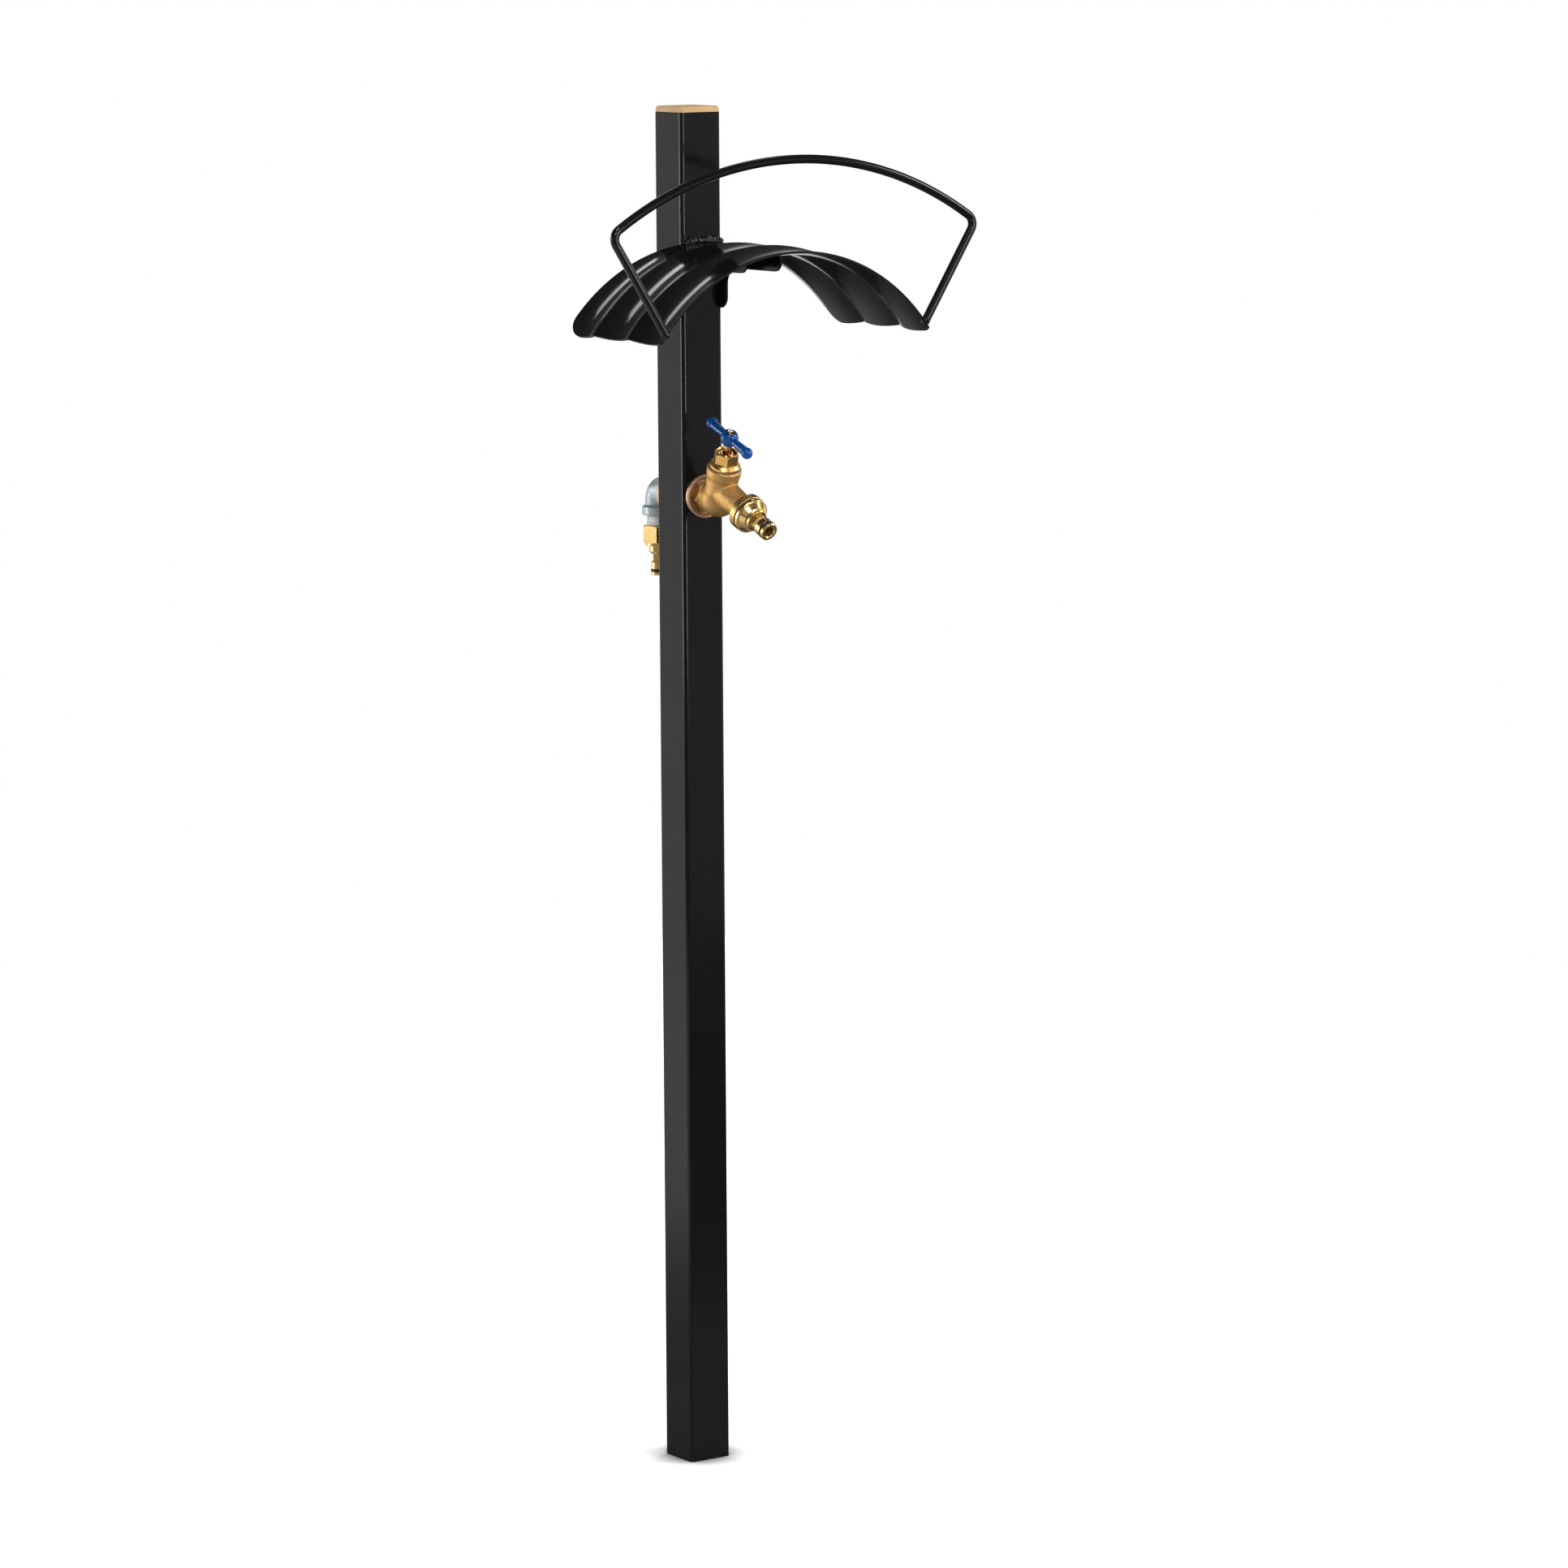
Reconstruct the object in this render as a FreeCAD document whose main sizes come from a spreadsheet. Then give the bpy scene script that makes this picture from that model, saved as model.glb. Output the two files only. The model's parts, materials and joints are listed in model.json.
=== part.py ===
import FreeCAD, Part
import Sketcher
import math
import os

# Garden tap on a steel post with a hose saddle.
# Millimetres. Origin at the centre of the post's foot, +Z up, the tap faces -Y.

os.makedirs("parts", exist_ok=True)
doc = FreeCAD.newDocument("garden_tap_post")
Vector = FreeCAD.Vector

# Driving dimensions
dimensions = [
    # post and cap
    ("postWidth", 40, "outside width of the square tube"),
    ("postWall", 2, "wall of the tube"),
    ("postCorner", 3, "outside corner radius of the tube"),
    ("postHeight", 1150, "foot to top of the tube"),
    ("capThickness", 5, "visible plate of the cap"),
    ("capInset", 0.3, "how far the cap stays inside the tube's outline"),
    ("capRound", 2.5, "rounding of the cap's top edge"),
    ("plugDepth", 16, "how far the plug reaches into the tube"),
    ("plugWall", 2, "wall of the hollow plug"),
    ("plugCorner", 1, "corner radius of the plug"),
    ("plugClearance", 0.2, "gap between the plug's fins and the tube"),
    ("finHeight", 1.2, "fins that grip the tube"),
    ("finThickness", 1.2, "thickness of one fin"),
    ("finPitch", 4, "distance from fin to fin"),
    ("finCount", 3, "fins on the plug"),
    # hose saddle
    ("saddleDrop", 106, "top of the post down to the saddle's ridges"),
    ("saddleRadius", 169, "radius of the ridges"),
    ("sweepAngle", 108.8, "angle of the arch in degrees"),
    ("fluteBack", 43, "width of the flute next to the post"),
    ("fluteMiddle", 50, "width of the middle flute"),
    ("fluteFront", 45, "width of the front flute"),
    ("fluteDip", 3.3, "depth of each flute"),
    ("rimBackDrop", 1.5, "how far the back rim lies below the ridges"),
    ("rimFrontDrop", 3, "how far the front rim lies below the ridges"),
    ("sheetThickness", 2, "pressed sheet of the saddle"),
    ("backCorner", 17, "corner radius at the back of the sheet"),
    ("frontCorner", 3, "corner radius at the front of the sheet"),
    # guard rod
    ("rodDiameter", 7.4, "round bar of the guard"),
    ("hoopRadius", 321.8, "radius of the guard's top"),
    ("hoopRise", 71.6, "ridges up to the centre line of the guard's top"),
    ("legAngle", 57.4, "slope of the guard's legs in degrees"),
    ("bendRadius", 9, "bend between leg and top"),
    ("footInsetAngle", 3, "how far inside the arch's end a leg stands, in degrees"),
    ("rodWeldRadius", 5.8, "weld blob round each leg"),
    # bracket
    ("bracketInset", 2, "post's side to the outside of the folded channel"),
    ("bracketSheet", 2, "sheet of the channel"),
    ("bracketDrop", 57, "ridges down to the channel's lower end"),
    ("armDrop", 23, "ridges down to the arm's lower edge"),
    ("armReach", 91, "how far the arm stands out from the post"),
    ("armNose", 9, "radius of the arm's lower front corner"),
    ("gussetDepth", 12, "how far the lower part stands out from the post"),
    ("gussetRound", 10, "radius at the lower end"),
    ("gussetBlend", 14, "radius where the lower part turns into the arm"),
    ("beadRadius", 2, "weld beads along the bracket"),
    ("beadStart", 2, "bracket's lower end to the start of its beads"),
    ("beadOverArm", 6, "how far these beads reach above the arm's lower edge"),
    ("saddleBead", 3.6, "weld bead between saddle and post"),
    ("saddleBeadRound", 5.4, "radius of this bead's round face"),
    ("saddleBeadAngle", 12, "angle of the arch that this bead covers"),
    ("cutMargin", 10, "how far a cutting shape reaches past what it cuts"),
    # where the tap sits
    ("tapDrop", 320, "top of the post down to the inlet's axis"),
    ("tapReach", 43.5, "post's axis to the point where spindle and inlet cross"),
    ("leanAngle", 8, "lean of the whole tap to the side, in degrees"),
    ("tiltAngle", 26, "forward lean of the spindle in degrees"),
    ("axesMeet", 8.8, "along the spindle, where the spout's axis meets it"),
    # shared by several pieces
    ("threadRadius", 10.4, "half inch pipe thread, outside"),
    ("threadGap", 0.1, "clearance between a thread and its socket"),
    ("turningGap", 0.05, "radial clearance of what turns"),
    ("edgeBreak", 0.6, "small chamfer on turned edges"),
    ("nutLand", 0.22, "a hexagon's round end face to its flats"),
    ("nutBevel", 1.05, "height of the bevel on a hexagon's corners"),
    ("overlap", 1, "how far joined solids and cutters reach into or past each other"),
    # wall flange
    ("flangeMargin", 4.6, "wall flange outside the tap's hexagon"),
    ("flangeLip", 3.2, "width of the flange's raised rim"),
    ("flangeRim", 4.5, "height of the rim"),
    ("flangeSeat", 2.2, "thickness where the tap sits on it"),
    # tap body
    ("branchWall", 2.9, "casting round the valve chamber"),
    ("collarStep", 1.1, "how far the casting's top collar stands out"),
    ("collarLength", 7, "length of that collar"),
    ("collarSlope", 3.3, "length of the slope under that collar"),
    ("collarTop", 31, "top of the casting, along the spindle"),
    ("bellyRadius", 15.8, "round underside of the casting"),
    ("inletRadius", 11.8, "casting round the inlet"),
    ("inletHexAcross", 24, "hexagon next to the wall flange"),
    ("inletHexLength", 8, "length of that hexagon"),
    ("chamberFloor", 5, "floor of the valve chamber, along the spindle"),
    ("seatHeight", 1, "rim of the valve seat above the floor"),
    ("seatRadius", 5.5, "hole in the valve seat"),
    ("seatWall", 1.8, "rim of the valve seat"),
    ("inletBore", 6, "radius of the inlet's bore"),
    ("spoutBore", 5.8, "radius of the spout's bore"),
    ("spoutRoot", 12.4, "radius of the spout at the casting"),
    ("spoutNeck", 10.6, "radius of the spout behind its thread"),
    ("spoutLength", 31, "spindle's axis to the spout's thread"),
    ("spoutThread", 6.5, "length of the spout's thread"),
    ("tailLength", 12, "inlet thread behind the wall flange"),
    # bonnet and gland
    ("sealThickness", 1, "ring under the bonnet"),
    ("bonnetThread", 10, "length of the bonnet's thread"),
    ("bonnetFlange", 12.8, "radius of the bonnet's flange"),
    ("bonnetFlangeLength", 4, "flange and its cone"),
    ("bonnetFlangeRim", 1.6, "straight rim of the flange"),
    ("bonnetCone", 1.3, "how far that cone stands out from the hexagon's flats"),
    ("bonnetHexAcross", 18.6, "across the bonnet's flats"),
    ("bonnetHexLength", 9.6, "length of the hexagon"),
    ("recessWall", 1.6, "rim round the recess in the hexagon's top"),
    ("recessDepth", 2.6, "depth of that recess"),
    ("glandRadius", 5.8, "bore for packing and gland nut"),
    ("packingFloor", 2, "metal under the packing"),
    ("packingLength", 3, "length of the packing"),
    ("glandLength", 3.6, "length of the gland nut"),
    # spindle and valve
    ("washerGap", 0.3, "gap between washer and seat, and between jumper and spindle"),
    ("washerRadius", 6.9, "rubber washer"),
    ("washerThickness", 3, "rubber washer"),
    ("jumperRadius", 7, "disc of the jumper valve"),
    ("jumperThickness", 2, "disc of the jumper valve"),
    ("jumperPin", 2.5, "radius of the pin in the spindle"),
    ("jumperPinLength", 6, "pin above the disc"),
    ("jumperStud", 2, "radius of the stud below the disc"),
    ("jumperNutAcross", 7, "nut under the washer"),
    ("jumperNutThickness", 2.4, "nut under the washer"),
    ("spindleFoot", 5, "radius of the spindle's plain end"),
    ("spindleThread", 6, "radius of the spindle's thread"),
    ("spindleThreadLength", 10, "length of the spindle's thread"),
    ("spindleOverhang", 2, "thread below the bonnet when the tap is shut"),
    ("stemRadius", 3.5, "stem through the gland"),
    ("squareAcross", 5, "square that carries the handle"),
    # handle
    ("handleLift", 6.8, "bonnet's top to the underside of the hub"),
    ("hubRadius", 7.7, "ball of the hub"),
    ("hubFoot", 0.4, "rim round the stem at the hub's underside"),
    ("hubRim", 0.15, "rim round the recess at the hub's top"),
    ("hubRecess", 4.8, "radius of the recess for the screw"),
    ("hubRecessDepth", 1.2, "depth of the recess for the screw"),
    ("hubRoof", 2, "metal under the recess"),
    ("armLength", 25.6, "hub centre to end ball centre"),
    ("armStart", 5.4, "hub centre to the start of an arm inside the hub"),
    ("armThin", 3.1, "radius of an arm at the hub"),
    ("armThick", 4.3, "radius of an arm at its ball"),
    ("endBall", 4.9, "ball at the end of an arm"),
    ("screwHead", 4, "radius of the screw's head"),
    ("screwHeadHeight", 1.6, "height of the screw's head"),
    ("screwShank", 2, "radius of the screw"),
    ("screwLength", 9, "length under the head"),
    ("crossWidth", 1.1, "cross recess"),
    ("crossSpan", 4.8, "cross recess"),
    ("crossDepth", 1, "cross recess"),
    ("screwWasherPlay", 0.2, "gap round the dark washer in its recess"),
    ("screwWasherThickness", 0.6, "dark washer under the screw"),
    # outlet
    ("outletCollar", 15.9, "radius of the outlet collar"),
    ("outletCollarInset", 2.8, "plain neck in front of the spout's shoulder"),
    ("outletCollarLength", 7.9, "length of the collar"),
    ("outletGap", 0.8, "open line between collar and spigot"),
    ("spigotFlange", 15.6, "radius of the spigot's flange"),
    ("spigotFlangeLength", 3.6, "length of the spigot's flange"),
    ("spigotEdge", 1.4, "round edge of the flange"),
    ("gasketThickness", 2, "gasket in the collar"),
    ("gasketBore", 6.5, "radius of its hole"),
    ("coneLength", 4.5, "length of the cone in front of the flange"),
    ("coneStep", 0.75, "length of the step after the cone"),
    ("conePlainLength", 2.25, "length of the plain band after the step"),
    ("coneRoot", 11, "radius where the cone ends"),
    ("conePlain", 9.6, "radius between cone and neck"),
    # quick coupling nose, the same on both spigots
    ("noseNeckAcross", 12.4, "hexagonal neck that a coupling locks on"),
    ("noseNeckLength", 6.4, "length of the neck"),
    ("noseRadius", 8, "lands either side of the ring"),
    ("noseShoulder", 6.4, "land behind the ring"),
    ("noseTip", 2.6, "land in front of the ring"),
    ("noseChamfer", 1, "chamfer at the mouth"),
    ("grooveDepth", 2.4, "depth of the ring's groove"),
    ("ringSection", 1.3, "radius of the ring's section"),
    ("ringPlay", 0.2, "spare width of the groove"),
    ("noseWall", 1.2, "metal between groove and bore"),
    # feed through the post
    ("pipeWall", 2.75, "wall of the through pipe round its socket"),
    ("pipeGap", 0.25, "gap between the pipe and the post's holes"),
    ("pipeSpare", 3, "free depth behind the tap's tail"),
    ("pipeBore", 6.5, "radius of the pipe's bore"),
    ("backnutThickness", 2.8, "nut in the rear flange"),
    ("elbowArm", 21, "elbow's centre to either face"),
    ("elbowWall", 2.1, "wall of the elbow"),
    ("elbowBead", 2.4, "how far the elbow's beads stand out"),
    ("elbowBeadLength", 8.9, "length of the elbow's beads"),
    ("elbowSpace", 0.6, "gap between the two threads inside the elbow"),
    ("elbowBore", 8.6, "radius of the elbow's passage"),
    ("tapeLength", 8.6, "taped thread between elbow and adapter"),
    ("tapeThickness", 0.6, "layers of tape"),
    ("adapterHexAcross", 26, "adapter's hexagon"),
    ("adapterHexLength", 15, "adapter's hexagon"),
    ("adapterTurnAngle", 15, "how the hexagon happens to stand, in degrees"),
    ("adapterStep", 2.2, "plain band under the hexagon"),
    ("adapterBand", 9.7, "radius of the narrower band below it"),
    ("adapterBandLength", 4.9, "length of that band"),
    ("adapterCone", 2.2, "length of the adapter's cone"),
    ("adapterConeEnd", 7.4, "radius of the cone's small end"),
]

sheet = doc.addObject("Spreadsheet::Sheet", "sizes")
for row, (alias, value, meaning) in enumerate(dimensions, start=1):
    sheet.set("A" + str(row), alias)
    sheet.set("B" + str(row), str(value))
    sheet.set("C" + str(row), meaning)
    sheet.setAlias("B" + str(row), alias)
doc.recompute()


def size(formula):
    """Value of a formula in the sheet's names, for starting positions."""
    return float(sheet.evalExpression(formula))


# Places, written as formulas of the sheet
def at(across, along, up, lean="0", tilt="0", turn="0"):
    turned_by = "create(<<rotation>>; " + turn + "; " + lean + "; " + tilt + ")"
    spot = "create(<<vector>>; " + across + "; " + along + "; " + up + ")"
    return "create(<<placement>>; " + spot + "; " + turned_by + ")"


def moved(place, distance):
    return place + " * " + at("0", "0", distance)


# A little further up or down, so that solids overlap and cutters cut through
past = " + sizes.overlap"
short_of = " - sizes.overlap"

# Heights, distances and frames that several pieces share
post_front = "sizes.postWidth / 2"
saddle_top = "(sizes.postHeight - sizes.saddleDrop)"
tap_height = "(sizes.postHeight - sizes.tapDrop)"
hoop_top = "(" + saddle_top + " + sizes.hoopRise)"
bracket_bottom = "(" + saddle_top + " - sizes.bracketDrop)"
arm_underside = "(" + saddle_top + " - sizes.armDrop)"
arch_centre = "(" + saddle_top + " - sizes.saddleRadius)"
saddle_depth = "(sizes.fluteBack + sizes.fluteMiddle + sizes.fluteFront)"
rim_plane = "(" + post_front + " + " + saddle_depth + ")"
front_rim = "(sizes.saddleRadius - sizes.rimFrontDrop)"
back_rim = "(sizes.saddleRadius - sizes.rimBackDrop)"
rear_stack = "(sizes.flangeSeat + sizes.backnutThickness)"
elbow_centre = "(" + post_front + " + " + rear_stack + " + sizes.elbowArm)"
foot_angle = "(sizes.sweepAngle / 2 - sizes.footInsetAngle)"
bracket_width = "(sizes.postWidth - 2 * sizes.bracketInset)"
socket_radius = "(sizes.threadRadius + sizes.threadGap)"
pipe_radius = "(" + socket_radius + " + sizes.pipeWall)"

arch_frame = at("0", "0", arch_centre)
inlet_frame = at("0", "-" + post_front, tap_height, "-sizes.leanAngle", "90")
tap_frame = at("0", "-sizes.tapReach", tap_height, "-sizes.leanAngle", "sizes.tiltAngle")
spout_frame = moved(tap_frame, "sizes.axesMeet") + " * " + at("0", "0", "0", "0", "90")
back_frame = at("0", post_front, tap_height, "0", "-90")
elbow_frame = moved(back_frame, rear_stack)
drop_frame = at("0", elbow_centre, tap_height + " - sizes.elbowArm", "0", "180")

nodes = []


def keep(label, solid):
    """Marks an object as one piece of the tap and gives it that piece's name."""
    solid.Label = label
    nodes.append(solid)
    return solid


# Sketches and turned bodies
def origin_plane(body, role):
    return [item for item in body.Origin.OriginFeatures if item.Role == role][0]


def new_body(name, place=None):
    body = doc.addObject("PartDesign::Body", name + "_body")
    if place:
        body.setExpression("Placement", place)
    return body


def new_sketch(body, name, role, offset=None):
    sketch = body.newObject("Sketcher::SketchObject", name)
    sketch.AttachmentSupport = (origin_plane(body, role), [""])
    sketch.MapMode = "FlatFace"
    if offset:
        sketch.setExpression("AttachmentOffset.Base.z", offset)
    return sketch


def bind(sketch, kind, parts, formula):
    index = sketch.addConstraint(Sketcher.Constraint(kind, *parts, size(formula)))
    sketch.setExpression("Constraints[" + str(index) + "]", formula)


def pin(sketch, edge, end, across, up):
    bind(sketch, "DistanceX", (-1, 1, edge, end), across)
    bind(sketch, "DistanceY", (-1, 1, edge, end), up)


def draw_outline(sketch, corners):
    """Closed outline. A corner is (across, up), or (across, up, radius, side) where an arc leaves it,
    with side 1 where the arc's centre is on the left of the way and -1 on the right."""
    ends = []
    for number, corner in enumerate(corners):
        after = corners[(number + 1) % len(corners)]
        start = Vector(size(corner[0]), size(corner[1]), 0)
        stop = Vector(size(after[0]), size(after[1]), 0)
        if len(corner) == 2:
            edge = sketch.addGeometry(Part.LineSegment(start, stop), False)
            ends.append((edge, 1, 2))
            continue
        radius = size(corner[2])
        side = corner[3]
        half = (stop - start) * 0.5
        rise = math.sqrt(max(radius ** 2 - half.Length ** 2, 0))
        sideways = Vector(-half.y, half.x, 0).normalize()
        centre = start + half + sideways * rise * side
        first, last = (start, stop) if side == 1 else (stop, start)
        angles = [math.atan2(point.y - centre.y, point.x - centre.x) for point in (first, last)]
        circle = Part.Circle(centre, Vector(0, 0, 1), radius)
        edge = sketch.addGeometry(Part.ArcOfCircle(circle, *angles), False)
        bind(sketch, "Radius", (edge,), corner[2])
        ends.append((edge, 1, 2) if side == 1 else (edge, 2, 1))
    for number, corner in enumerate(corners):
        edge, first, last = ends[number]
        after_edge, after_first, after_last = ends[(number + 1) % len(corners)]
        sketch.addConstraint(Sketcher.Constraint("Coincident", edge, last, after_edge, after_first))
        pin(sketch, edge, first, corner[0], corner[1])


def draw_circle(sketch, across, up, radius):
    centre = Vector(size(across), size(up), 0)
    edge = sketch.addGeometry(Part.Circle(centre, Vector(0, 0, 1), size(radius)), False)
    bind(sketch, "Radius", (edge,), radius)
    pin(sketch, edge, 3, across, up)


def draw_square(sketch, half, corner):
    """Square with round corners about the sketch's origin."""
    flat = "(" + half + " - " + corner + ")"
    draw_outline(sketch, [
        ("-" + flat, "-" + half),
        (flat, "-" + half, corner, 1),
        (half, "-" + flat),
        (half, flat, corner, 1),
        (flat, half),
        ("-" + flat, half, corner, 1),
        ("-" + half, flat),
        ("-" + half, "-" + flat, corner, 1),
    ])


def turned(name, place, outline):
    """Body turned about its own Z axis from an outline of radius and height."""
    body = new_body(name, place)
    sketch = new_sketch(body, name + "_outline", "XZ_Plane")
    draw_outline(sketch, outline)
    turn = body.newObject("PartDesign::Revolution", name + "_turned")
    turn.Profile = sketch
    turn.ReferenceAxis = (sketch, ["V_Axis"])
    turn.Angle = 360
    return body


def ring(name, place, outer, inner, bottom, top):
    return turned(name, place, [(inner, bottom), (outer, bottom), (outer, top), (inner, top)])


# Primitives and booleans
def cylinder(name, place, radius, bottom, top):
    solid = doc.addObject("Part::Cylinder", name)
    solid.setExpression("Radius", radius)
    solid.setExpression("Height", "(" + top + ") - (" + bottom + ")")
    solid.setExpression("Placement", moved(place, bottom))
    return solid


def cone(name, place, bottom_radius, top_radius, bottom, top):
    solid = doc.addObject("Part::Cone", name)
    solid.setExpression("Radius1", bottom_radius)
    solid.setExpression("Radius2", top_radius)
    solid.setExpression("Height", "(" + top + ") - (" + bottom + ")")
    solid.setExpression("Placement", moved(place, bottom))
    return solid


def ball(name, place, radius, height):
    solid = doc.addObject("Part::Sphere", name)
    solid.setExpression("Radius", radius)
    solid.setExpression("Placement", moved(place, height))
    return solid


def bar(name, place, width, depth, bottom, top):
    """Box about the Z axis of its place."""
    solid = doc.addObject("Part::Box", name)
    solid.setExpression("Length", width)
    solid.setExpression("Width", depth)
    solid.setExpression("Height", "(" + top + ") - (" + bottom + ")")
    centred = at("-(" + width + ") / 2", "-(" + depth + ") / 2", bottom)
    solid.setExpression("Placement", place + " * " + centred)
    return solid


def prism(name, place, across, bottom, top):
    solid = doc.addObject("Part::Prism", name)
    solid.Polygon = 6
    solid.setExpression("Circumradius", across + " / 2 / cos(30)")
    solid.setExpression("Height", "(" + top + ") - (" + bottom + ")")
    solid.setExpression("Placement", moved(place, bottom))
    return solid


def cut(name, base, tool):
    result = doc.addObject("Part::Cut", name)
    result.Base = base
    result.Tool = tool
    return result


def fuse(name, solids):
    result = doc.addObject("Part::MultiFuse", name)
    result.Shapes = solids
    return result


def common(name, first, second):
    result = doc.addObject("Part::Common", name)
    result.Base = first
    result.Tool = second
    return result


def nut_hexagon(name, place, across, bottom, top):
    """Hexagon with its corners turned down at both ends."""
    corner = "(" + across + " / 2 / cos(30) + sizes.nutLand)"
    face = "(" + across + " / 2 - sizes.nutLand)"
    low = "(" + bottom + ")"
    high = "(" + top + ")"
    rounding = turned(name + "_rounding", place, [
        ("0", low),
        (face, low),
        (corner, low + " + sizes.nutBevel"),
        (corner, high + " - sizes.nutBevel"),
        (face, high),
        ("0", high),
    ])
    return common(name, prism(name + "_prism", place, across, bottom, top), rounding)


def edges_where(shape, wanted):
    return ["Edge" + str(number) for number, edge in enumerate(shape.Edges, start=1) if wanted(edge)]


def round_edges(body, name, feature, edges, radius):
    fillet = body.newObject("PartDesign::Fillet", name)
    fillet.Base = (feature, edges)
    fillet.setExpression("Radius", radius)
    return fillet


# Post tube, open at both ends, with a hole through front and back for the feed pipe
def make_post():
    body = new_body("post")
    outline = new_sketch(body, "post_outline", "XY_Plane")
    draw_square(outline, "(sizes.postWidth / 2)", "sizes.postCorner")
    draw_square(outline, "(sizes.postWidth / 2 - sizes.postWall)",
                "(sizes.postCorner - sizes.postWall)")
    tube = body.newObject("PartDesign::Pad", "post_tube_pad")
    tube.Profile = outline
    tube.setExpression("Length", "sizes.postHeight")
    hole = new_sketch(body, "pipe_hole", "XZ_Plane")
    draw_circle(hole, "0", tap_height, pipe_radius + " + sizes.pipeGap")
    pocket = body.newObject("PartDesign::Pocket", "pipe_holes")
    pocket.Profile = hole
    pocket.Type = "ThroughAll"
    pocket.Midplane = True
    return keep("post_tube", body)


# Plastic cap: a plate with a softened edge and a hollow plug whose fins grip the tube
def make_cap():
    body = new_body("cap", at("0", "0", "sizes.postHeight"))
    inside = "(sizes.postWidth / 2 - sizes.postWall - sizes.plugClearance)"
    core = "(sizes.postWidth / 2 - sizes.postWall - sizes.plugClearance - sizes.finHeight)"
    top = new_sketch(body, "cap_outline", "XY_Plane")
    draw_square(top, "(sizes.postWidth / 2 - sizes.capInset)", "sizes.postCorner")
    plate = body.newObject("PartDesign::Pad", "cap_plate")
    plate.Profile = top
    plate.setExpression("Length", "sizes.capThickness")
    doc.recompute()
    height = size("sizes.capThickness")
    rim = edges_where(plate.Shape, lambda edge: edge.BoundBox.ZMin > height - 0.01)
    round_edges(body, "cap_edge", plate, rim, "sizes.capRound")
    wall = new_sketch(body, "plug_outline", "XY_Plane")
    draw_square(wall, core, "sizes.plugCorner")
    draw_square(wall, "(" + core + " - sizes.plugWall)", "sizes.plugCorner / 2")
    plug = body.newObject("PartDesign::Pad", "cap_plug")
    plug.Profile = wall
    plug.setExpression("Length", "sizes.plugDepth")
    plug.Reversed = True
    fin_outline = new_sketch(body, "fin_outline", "XY_Plane", "-sizes.finPitch")
    draw_square(fin_outline, inside, "sizes.plugCorner")
    draw_square(fin_outline, "(" + core + " - sizes.plugWall / 2)", "sizes.plugCorner / 2")
    fin = body.newObject("PartDesign::Pad", "cap_fin")
    fin.Profile = fin_outline
    fin.setExpression("Length", "sizes.finThickness")
    fin.Reversed = True
    fins = body.newObject("PartDesign::LinearPattern", "cap_fins")
    fins.Originals = [fin]
    fins.Direction = (fin_outline, ["N_Axis"])
    fins.Reversed = True
    fins.setExpression("Length", "sizes.finPitch * (sizes.finCount - 1)")
    fins.setExpression("Occurrences", "sizes.finCount")
    body.Tip = fins
    return keep("post_cap", body)


# The saddle's section: three hollow flutes between its rims, as distance from the post and radius
flute_edges = [
    (post_front, back_rim),
    ("(" + post_front + " + sizes.fluteBack)", "sizes.saddleRadius"),
    ("(" + post_front + " + sizes.fluteBack + sizes.fluteMiddle)", "sizes.saddleRadius"),
    (rim_plane, front_rim),
]
flute_widths = ["sizes.fluteBack", "sizes.fluteMiddle", "sizes.fluteFront"]


def flute_radius(width):
    return "((" + width + "^2 / 4 + sizes.fluteDip^2) / (2 * sizes.fluteDip))"


def flute_line(drop, side):
    """Corners of the fluted line from back to front, lowered by drop."""
    line = []
    for number, (distance, radius) in enumerate(flute_edges):
        corner = ("-" + distance, radius + " - " + drop)
        if number < len(flute_widths):
            corner += (flute_radius(flute_widths[number]), side)
        line.append(corner)
    return line


def flute_line_back(drop):
    """The same line from front to back."""
    line = []
    for number in reversed(range(len(flute_edges))):
        distance, radius = flute_edges[number]
        corner = ("-" + distance, radius + " - " + drop)
        if number > 0:
            corner += (flute_radius(flute_widths[number - 1]), 1)
        line.append(corner)
    return line


def arch_body(name, outline, sweep):
    """Section swept about the arch's axis, half to either side."""
    body = new_body(name, arch_frame)
    sketch = new_sketch(body, name + "_section", "YZ_Plane")
    draw_outline(sketch, outline)
    arch = body.newObject("PartDesign::Revolution", name + "_arch")
    arch.Profile = sketch
    arch.ReferenceAxis = (sketch, ["H_Axis"])
    arch.setExpression("Angle", sweep)
    arch.Midplane = True
    return body, arch


# Hose saddle: pressed sheet bent to an arch
def make_saddle():
    outline = flute_line("0", -1) + flute_line_back("sizes.sheetThickness")
    body, arch = arch_body("saddle", outline, "sizes.sweepAngle")
    doc.recompute()
    thickness = size("sizes.sheetThickness")

    def short_edge_at(distance):
        def wanted(edge):
            return (abs(edge.Length - thickness) < 0.01
                    and abs(edge.BoundBox.YMin + distance) < 0.01
                    and abs(edge.BoundBox.YMax + distance) < 0.01)
        return wanted

    back = edges_where(arch.Shape, short_edge_at(size(post_front)))
    rounded_back = round_edges(body, "saddle_back_corners", arch, back, "sizes.backCorner")
    doc.recompute()
    front = edges_where(rounded_back.Shape, short_edge_at(size(rim_plane)))
    round_edges(body, "saddle_front_corners", rounded_back, front, "sizes.frontCorner")
    return keep("hose_saddle", body)


# Space above the saddle's underside, which trims the bracket to fit under it
def make_underside():
    above = "sizes.saddleRadius + 4 * sizes.cutMargin"
    outline = flute_line("sizes.sheetThickness", -1)
    outline += [("-" + rim_plane, above), ("-" + post_front, above)]
    body, arch = arch_body("underside", outline, "sizes.sweepAngle / 2")
    return body


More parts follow.
